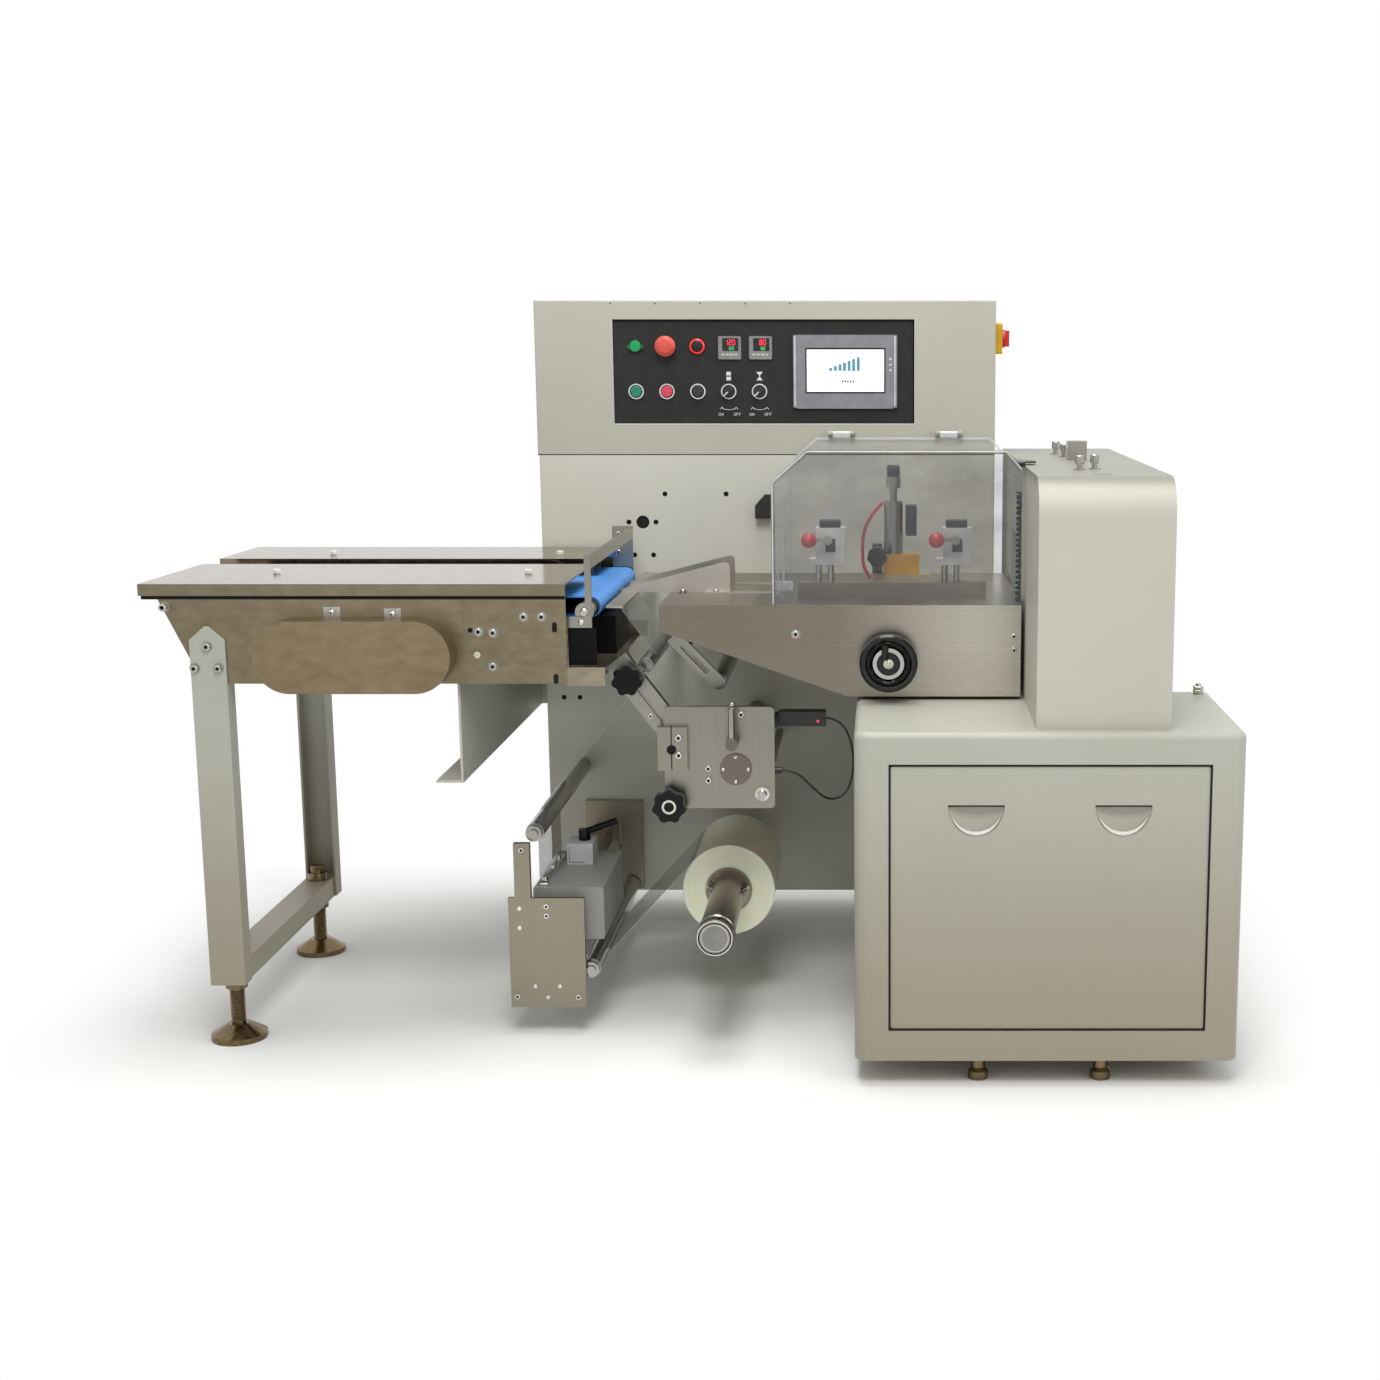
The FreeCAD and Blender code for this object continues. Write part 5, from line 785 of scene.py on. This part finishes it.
def clear_sheet(name, haze=(0.16, 0.30), edge=0.75, blotch=(130, 130, 90), tint="#D9DDDC", rough=0.1,
                sawn=("#9C9C94", "#FFFFFF")):
    """Clear sheet: a low alpha on the broad faces, cloudy by noise, and a high one on the edges,
    told apart by the part of the normal that points to the operator."""
    made, tree, shader, own = blank(name)
    facing = add(tree, "SeparateXYZ", {0: own["Normal"]}).outputs[1]
    away = add(tree, "Math", {0: facing}, operation="ABSOLUTE").outputs[0]
    broad = add(tree, "MapRange", {0: away, 1: 0.35, 2: 0.65}).outputs[0]
    cloud = grain(tree, own["Object"], blotch, 4.0)
    speck = grain(tree, own["Object"], (4, 4, 4), 2.0)
    cut_edge = mixed(tree, speck, edge * 0.55, edge)
    dress(tree, shader, Alpha=mixed(tree, broad, cut_edge, mixed(tree, cloud, *haze)),
          Base_Color=mixed(tree, broad, mixed(tree, speck, *sawn), tint),
          Roughness=mixed(tree, cloud, rough, rough + 0.08))
    return made


# Polished acrylic shows what is behind it through a weak haze; a sawn edge and dried glue scatter light and
# look white. The white bead along the sawn edge is the edge's frosted white and also a painted highlight, and
# the grey line inside it a painted shadow.
wear(clear_sheet("cast_acrylic_face", haze=(0.12, 0.38), blotch=(110, 80, 70), tint="#68686C"), "guard_front")
wear(clear_sheet("cast_acrylic_canopy", haze=(0.75, 0.75), edge=0.13), "guard_canopy")
glue = clear_sheet("solvent_glue_bead", haze=(0.5, 0.9), edge=0.9, blotch=(5, 5, 5), tint="#F4F4F0")
guard_low, guard_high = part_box("guard_front")
outer, inner = guard_low[1], guard_high[1]
outline = [(0.1415, 0.7625), (0.1415, 0.9725), (0.2005, 1.0245), (0.5425, 1.0245), (0.5690, 0.9945)]
sheet = 0.0032
shrunk = [(x + (sheet if x < 0.3 else -sheet), z - (sheet if z > 0.8 else 0)) for x, z in outline]
for name, made, line, y, radius in (
        ("guard_sawn_edges", finish("sawn_acrylic_edge_highlight_white", moulded("#F4F4F0", "#E0E0DA", 0.2)),
         outline, outer + 0.0004, 0.0008),
        ("guard_dark_edges", finish("sawn_acrylic_edge_shadow", moulded("#7A7A74", "#5C5C57", 0.3)),
         shrunk, outer + 0.0006, 0.0007)):
    piece(name, "guard", made,
          *[swept([(x, y, z) for x, z in run], radius, 6) for run in zip(line, line[1:])])
# Painted reflection: small white ticks down the left edge, along the top and down the right edge.
specks = [(0.1465 + 0.004 * math.sin(k * 2.3), 0.780 + 0.0085 * k) for k in range(23)]
specks += [(0.375 + 0.0072 * k, 1.0065 - 0.0003 * k) for k in range(21)]
specks += [(0.546 + 0.0009 * k, 0.985 - 0.0016 * k) for k in range(10)]
piece("guard_reflection_ticks", "guard", finish("painted_reflection_white", moulded("#F6F6F2", "#E4E4DF", 0.2)),
      *[rounded_block((x, inner + 0.0005, z), (x + 0.0016, inner + 0.0020, z + 0.0016), 0.0004, 1)
        for x, z in specks])
piece("guard_glue_beads", "guard", glue,
      *[swept([(x, inner + 0.0006, z) for x, z in run], 0.0011, 8) for run in zip(outline, outline[1:])],
      rounded_block((0.1440, inner + 0.0003, 0.7850), (0.1760, inner + 0.016, 0.8010), 0.002))
painted_hinges = (powder("#A3A297", "#9B9A8F"), (0.2, 0.2, 0.99), (0.52, 0.3, 1.05))
wear(finish("moulded_interlock_black", ebony, painted_hinges), "guard_mounts")
piece("guard_stay_clips", "guard", finish("moulded_clip_black", ebony),
      rounded_block((0.562, -0.2420, 0.9985), (0.576, -0.150, 1.0065), 0.002),
      rounded_block((0.570, -0.165, 1.0005), (0.600, -0.120, 1.0035), 0.001))

# ---- Inlet brush --------------------------------------------------------------------------------
# A black nylon strip brush closes the slot between the guard and the jaw cover; its bristles are
# pinched in an aluminium channel, which shows as bright ticks.

# Bristles side by side look like one matt black strip.
piece("inlet_brush_back", "guard", finish("nylon_brush_black", moulded("#161616", "#0B0B0B", 0.6)),
      rounded_block((0.5610, -0.2420, 0.7650), (0.5700, -0.2340, 0.9550), 0.0008))
piece("inlet_brush_ticks", "guard", zinc,
      *[rounded_block((0.5600, -0.2428, z), (0.5655 + 0.0025 * (k % 2), -0.2412, z + 0.0026), 0.0004, 1)
        for k, z in enumerate(np.arange(0.775, 0.950, 0.0092))])

# ---- Seal station -------------------------------------------------------------------------------
# Two spring clamps of cast grey metal with red ball levers stand on bright posts on each side of a
# yellow heater block, which rides on a beige insulating plate.

# The grey clamps and the heater are grained and matt, the posts and the ball levers glossy.
post_steel = brushed("#D6D5D0", "#A9A8A3", (0.6, 0.6, 8), 0.18)
rail_steel = brushed("#A5A196", "#8B877C", (60, 1.2, 1.2), 0.3)
posts = (post_steel, (0.19, -0.2, 0.7823), (0.50, 0, 0.8148))
clamps = (moulded("#F2F2F1", "#E0E0DF", 0.45), (0.19, -0.2, 0.8148), (0.50, 0, 0.9))
insulator = (moulded("#C9C0A0", "#BAB190", 0.6), (0.305, -0.2, 0.7822), (0.425, 0, 0.7972))
bracket = (dark_steel, (0.305, -0.2, 0.7972), (0.331, 0, 0.86))
column = (turned, (0.3, -0.2, 0.8332), (0.4, 0, 1.0))
wear(finish("cast_zinc_clamps", rail_steel, posts, clamps, insulator, bracket), "seal_frame")
wear(finish("glass_filled_yellow_block", moulded("#F0B62C", "#DEA31E", 0.45), column), "seal_heater")
wear(phenolic, "seal_knob", "arm_knob", "low_knob")
station_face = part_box("seal_frame")[0][1]
for side, ball_end, x in (("left", 0.2132, 0.237), ("right", 0.4412, 0.465)):
    arm = (post_steel, (ball_end, -0.3, 0.7), (ball_end + 0.1858, 0.1, 1.0))
    wear(finish(f"ball_lever_seal_lever_{side}", moulded("#E5484B", "#D8383C", 0.2), arm, Coat_Weight=0.3,
                Coat_Roughness=0.1), f"seal_lever_{side}")
    # Painted shade: the windows in the clamps are dark grey where shade falls in them.
    recess = finish(f"clamp_recess_shade_{side}", moulded("#3E4043", "#303235", 0.5))
    piece(f"clamp_windows_{side}", "machine", recess,
          rounded_block((x - 0.009, station_face - 0.0008, 0.838), (x + 0.009, station_face + 0.003, 0.862),
                        0.001),
          rounded_block((x - 0.020, -0.100, 0.8808), (x + 0.018, -0.070, 0.894), 0.002))
piece("heater_terminal", "machine", finish("black_anodised_sleeve", moulded("#3B3D42", "#2B2D31", 0.35)),
      rounded_block((0.372, -0.098, 0.866), (0.392, -0.074, 0.922), 0.003),
      revolved([(0.010, 0), (0.012, 0.003), (0.012, 0.017), (0.010, 0.020)], (0.350, -0.085, 0.9722), up, 24))

# ---- Transfer belt and photocell ----------------------------------------------------------------
# An endless blue polyurethane belt on a nose roller hands products over to the former, under a
# photocell on a bent arch.

# The belt is a flat satin blue; its frame swallows light, save for the steel tray and the axle's end.
tray = (stainless("#A39A88", "#857C6A"), (-0.3, -0.4, 0.60), (-0.1, 0.3, 0.6690))
axle_end = (turned, (-0.192, -0.3285, 0.740), (-0.150, -0.300, 0.778))
green_cap = (moulded("#3BA55C", "#2E954E", 0.35), (-0.19, -0.02, 0.846), (-0.14, 0.02, 0.87))
wear(finish("polyurethane_belt_blue", moulded("#4F97E4", "#458BD6", 0.42)), "transfer_belt")
wear(finish("anodised_belt_frame_black", moulded("#0B0B0D", "#070708", 0.4), tray, axle_end,
            Specular_IOR_Level=0.12), "belt_frame")
skirt_face, slot = -0.3332, 0.0042
piece("nose_bracket_screw", "machine", zinc,
      button_screw((-0.1784, skirt_face, 0.7425), front, 0.0052, 0.003),
      stud((-0.1725, skirt_face, 0.7590), front, 0.0075, 0.006, 0.002, 0.002, 24), soft=30)
slot_outline = [(-0.2205 + slot * math.cos(a), 0.0045 * np.sign(math.sin(a)) + slot * math.sin(a))
                for a in np.linspace(0.05, 2 * math.pi - 0.05, 24)]
# Painted shade: black in the two slots of the side sheet and in the gap under the plate's lip.
piece("side_sheet_slot_shade", "machine", rubber_black,
      *[prism([(x, z + rise) for x, rise in slot_outline], side_face - 0.0006, side_face)
        for z in (0.7361, 0.6481)],
      rounded_block((-0.912, side_face - 0.0012, 0.7835), (-0.2015, side_face - 0.0002, 0.7895), 0.0004))
wear(finish("moulded_photocell_blue", moulded("#3366AE", "#28579C", 0.35), green_cap), "photocell")
wear(finish("chain_links_steel_dark", brushed("#6D6A64", "#4B4844", (2, 2, 2), 0.35)), "infeed_chain")

# ---- Film: clear web and wound roll -------------------------------------------------------------
# Stretched polypropylene film about 0.04 mm thick. It runs clear and taut over the rollers, and is
# wound on a core.

# One layer is a faint grey veil with lighter edges. On the roll the layers add up to a milky cream
# with fine rings and a soft gloss.
reel_axis = (0.049, 0.0, 0.222)
wear(clear_sheet("polypropylene_film_clear", haze=(0.9, 0.9), edge=0.52, blotch=(20, 30, 20), tint="#C9CDCA",
                 rough=0.12, sawn=("#73756F", "#A4A69F")), "film_web")


def wound(name):
    """Wound film: fine rings about 1.5 mm apart on the end faces, a smooth milky side."""
    made, tree, shader, own = blank(name)
    centred = add(tree, "VectorMath", {0: own["Object"], 1: reel_axis}, operation="SUBTRACT").outputs[0]
    flat = add(tree, "VectorMath", {0: centred, 1: (1, 0, 1)}, operation="MULTIPLY").outputs[0]
    radius = add(tree, "VectorMath", {0: flat}, operation="LENGTH").outputs[1]
    line = add(tree, "CombineXYZ", {0: radius, 1: 0.0, 2: 0.0}).outputs[0]
    rings = grain(tree, line, (1.6, 1, 1), 3.0)
    drift = grain(tree, line, (14, 1, 1), 2.0)
    core = add(tree, "MapRange", {0: radius, 1: 0.0425, 2: 0.0435}).outputs[0]
    tones = mixed(tree, rings, "#E2DDBB", "#ECE8CC"), mixed(tree, rings, "#EEEAD0", "#F7F4E4")
    film = mixed(tree, drift, *tones)
    rise = add(tree, "Math", {0: rings, 1: 0.00008}, operation="MULTIPLY").outputs[0]
    dress(tree, shader, Base_Color=mixed(tree, core, "#8F7A5E", film),
          Roughness=mixed(tree, rings, 0.22, 0.38),
          Normal=add(tree, "Bump", {"Height": rise, "Distance": 1.0}).outputs[0],
          Subsurface_Weight=0.6, Subsurface_Scale=0.05, Coat_Weight=0.6, Coat_Roughness=0.25)
    return made


wear(wound("polypropylene_film_wound"), "film_roll")

# ---- Reel shaft ---------------------------------------------------------------------------------
# A bored steel tube, blued and oiled, with a ringed cap, three bright spring lugs that grip the
# core, and a black flange that sets the roll's place.

shaft_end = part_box("reel_shaft")[0][1]
cap_face = (moulded("#8C8A86", "#7A7874", 0.35),
            (-0.1, shaft_end - 0.01, 0.1), (0.2, shaft_end + 0.0012, 0.35))
flange = (ebony, (-0.2, 0.085, 0.0), (0.3, 0.095, 0.5))
wear(finish("blued_steel_shaft", brushed("#9A9086", "#6A6058", (0.6, 40, 0.6), 0.24), cap_face, flange),
     "reel_shaft")
lug_run = np.array([(0.0285, -0.196), (0.0345, -0.190), (0.0385, -0.178), (0.0380, -0.164), (0.0290, -0.158)])
ways_out = [np.array([math.cos(angle), 0, math.sin(angle)]) for angle in (0.3, 2.8, 4.6)]
piece("reel_spring_lugs", "reel", zinc,
      *[swept(reel_axis + lug_run[:, :1] * out + lug_run[:, 1:] * np.array(back), 0.0032, 10)
        for out in ways_out], soft=60)
cap_centre = (reel_axis[0], shaft_end, reel_axis[2])
piece("reel_cap_rings", "reel", zinc, washer(cap_centre, front, 0.0300, 0.0285, 0.0006),
      washer(cap_centre, front, 0.0235, 0.0225, 0.0005), soft=30)
# Painted shade: the groove in the cap is black.
piece("reel_cap_groove", "reel", rubber_black, washer(cap_centre, front, 0.0283, 0.0262, 0.0003))

# ---- Coder --------------------------------------------------------------------------------------
# A date coder: a die-cast body, painted grey, on a rail, with a white moulded block on top. A flat
# bar is screwed on beside it, and a black lever clamps it.

# Painted castings look even and slightly rough; the moulded block on top is paler.
white_block = (moulded("#C9CACB", "#BBBCBD", 0.45), (-0.27, -0.14, 0.2623), (-0.18, -0.04, 0.31))
wear(finish("painted_casting_grey", powder("#94938F", "#84837F", 0.35), white_block), "coder_body")
wear(phenolic, "coder_lever")
body_top, bar = 0.262, 0.005
piece("coder_top_bar", "machine", zinc,
      rounded_block((-0.281, -0.262, body_top), (-0.262, -0.060, body_top + bar), 0.001),
      *[cap_screw((-0.2715, y, body_top + bar), up, 0.0045, 0.004) for y in (-0.235, -0.150, -0.085)])
piece("coder_block_lines", "machine", finish("moulded_seam_dark", moulded("#4A4B4E", "#3D3E41", 0.5)),
      *[rounded_block((-0.2470, -0.1214, 0.2660), (x, -0.1205, z), 0.0003, 1)
        for x, z in ((-0.2458, 0.2960), (-0.2180, 0.2672))])

# ---- Film sensor --------------------------------------------------------------------------------
# A small photoelectric sensor moulded in glossy black plastic, with a red lamp that is lit. It is
# held by a short arm from the carriage.

wear(finish("moulded_sensor_black", ebony), "film_sensor")
piece("sensor_lamp", "machine", red_light,
      revolved([(0.0022, 0), (0.0018, 0.0008)], (0.218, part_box("film_sensor")[0][1], 0.5585), front, 16))

# ---- Hose and cable -----------------------------------------------------------------------------
# A red polyurethane air hose, pushed into the fittings of the heater's cylinder, and a black PVC
# lead, moulded on to the film sensor. Both are extruded.


def cord(name, node, route, radius, made):
    """A round cord whose centre line is a quadratic spline held by its route, with its ends on it."""
    curve = bpy.data.curves.new(name, "CURVE")
    curve.dimensions, curve.use_fill_caps = "3D", True
    curve.bevel_depth, curve.bevel_resolution, curve.resolution_u = radius, 4, 12
    spline = curve.splines.new("NURBS")
    spline.points.add(len(route) - 1)
    spline.points.foreach_set("co", np.hstack([np.array(route), np.ones((len(route), 1))]).ravel())
    spline.order_u = 3
    spline.use_endpoint_u = True
    curve.materials.append(made)
    line = bpy.data.objects.new(name, curve)
    bpy.context.scene.collection.objects.link(line)
    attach(line, "machine")
    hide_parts(node)


# Polyurethane tube is glossy, PVC sheathing satin.
hose_red = finish("polyurethane_hose_red", moulded("#D2474B", "#C2383D", 0.25), Coat_Weight=0.3)
cable_black = finish("pvc_cable_black", moulded("#222222", "#161616", 0.4))
cord("air_hose", "seal_hose", [(0.3307, -0.085, 0.925), (0.313, -0.087, 0.908), (0.296, -0.089, 0.875),
                               (0.294, -0.091, 0.838), (0.296, -0.095, 0.806), (0.3096, -0.097, 0.7895)],
     0.003, hose_red)
cord("sensor_lead", "sensor_cable", [(0.2303, -0.199, 0.553), (0.256, -0.199, 0.549), (0.276, -0.204, 0.512),
                                     (0.280, -0.212, 0.462), (0.268, -0.224, 0.420), (0.236, -0.238, 0.410),
                                     (0.206, -0.248, 0.438), (0.180, -0.256, 0.468), (0.1543, -0.256, 0.470)],
     0.002, cable_black)

# ---- Studio -------------------------------------------------------------------------------------
# A plain white floor that keeps the machine's shadow, a white surround, three soft boxes and the
# camera.

scene = bpy.context.scene
scene.view_settings.view_transform = "Standard"

# Near the machine the floor is matt white and holds the shadow; further off it turns to plain white.
floor_paint, tree, shader, own = blank("matt_floor_white")
apart = add(tree, "VectorMath", {0: own["Object"]}, operation="ABSOLUTE").outputs[0]
apart = add(tree, "VectorMath", {0: apart, 1: (0.915, 0.545, 0)}, operation="SUBTRACT").outputs[0]
apart = add(tree, "SeparateXYZ", {0: apart}).outputs
apart = add(tree, "Math", {0: apart[0], 1: apart[1]}, operation="MAXIMUM").outputs[0]
clear = add(tree, "MapRange", {0: apart, 1: -0.05, 2: 0.35}, interpolation_type="SMOOTHSTEP").outputs[0]
seen = add(tree, "LightPath").outputs["Is Camera Ray"]
clear = add(tree, "Math", {0: clear, 1: seen}, operation="MULTIPLY").outputs[0]
dress(tree, shader, Base_Color=mixed(tree, clear, "#F4F4F2", "#000000"), Emission_Color="#FFFFFF",
      Emission_Strength=clear, Roughness=0.9, Specular_IOR_Level=0.0)
mesh = bpy.data.meshes.new("studio_floor")
mesh.from_pydata([(-12, -8, 0), (12, -8, 0), (12, 14, 0), (-12, 14, 0)], [], [(0, 1, 2, 3)])
mesh.materials.append(floor_paint)
floor = bpy.data.objects.new("studio_floor", mesh)
scene.collection.objects.link(floor)

# The surround is plain white to the eye, to metal and through glass. What it sheds on the machine
# grows from the floor up, and is stronger behind.
world = bpy.data.worlds.new("studio_surround")
scene.world = world
world.use_nodes = True
tree = world.node_tree
ray = add(tree, "LightPath").outputs
seen = ray["Is Camera Ray"]
for kind in ("Is Transmission Ray", "Is Glossy Ray"):
    seen = add(tree, "Math", {0: seen, 1: ray[kind]}, operation="MAXIMUM").outputs[0]
way = add(tree, "SeparateXYZ", {0: add(tree, "TexCoord").outputs["Generated"]}).outputs
smooth = {"interpolation_type": "SMOOTHSTEP"}
glow = add(tree, "MapRange", {0: way[2], 1: 0.05, 2: 0.75, 3: 0.24, 4: 0.68}, **smooth).outputs[0]
behind = add(tree, "MapRange", {0: way[1], 1: 0.55, 2: 0.9}, **smooth).outputs[0]
glow = mixed(tree, behind, glow, 0.62)
dress(tree, tree.nodes["Background"], Color="#FFFFFF", Strength=mixed(tree, seen, glow, 1.0))


def lamp(name, place, aim, size, power):
    """A square soft box at a place, turned to a point."""
    light = bpy.data.lights.new(name, "AREA")
    light.size = size
    light.energy = power
    box = bpy.data.objects.new(name, light)
    box.location = place
    box.rotation_euler = (Vector(aim) - Vector(place)).to_track_quat("-Z", "Y").to_euler()
    scene.collection.objects.link(box)


lamp("key_box", (0.1, -2.5, 3.3), (0.1, 0.1, 0.9), 1.1, 47)
lamp("fill_box", (3.0, -2.4, 2.0), (0.3, 0, 0.6), 1.4, 20)
lamp("top_box", (0.2, -0.2, 4.2), (0.1, 0.0, 0.8), 1.8, 76)

# The camera stands at chest height, left of the jaws, and looks 10 degrees down. Its lens is shifted
# sideways, not turned.
frame_side, focal, shift, tilt = 1380, 1900, -195, 10
lens = bpy.data.cameras.new("camera")
lens.sensor_width = 36
lens.lens = lens.sensor_width * focal / frame_side
lens.shift_x = shift / frame_side
camera = bpy.data.objects.new("camera", lens)
camera.location = (0.335, -3.513, 1.187)
camera.rotation_euler = (math.radians(90 - tilt), 0, 0)
scene.collection.objects.link(camera)
scene.camera = camera
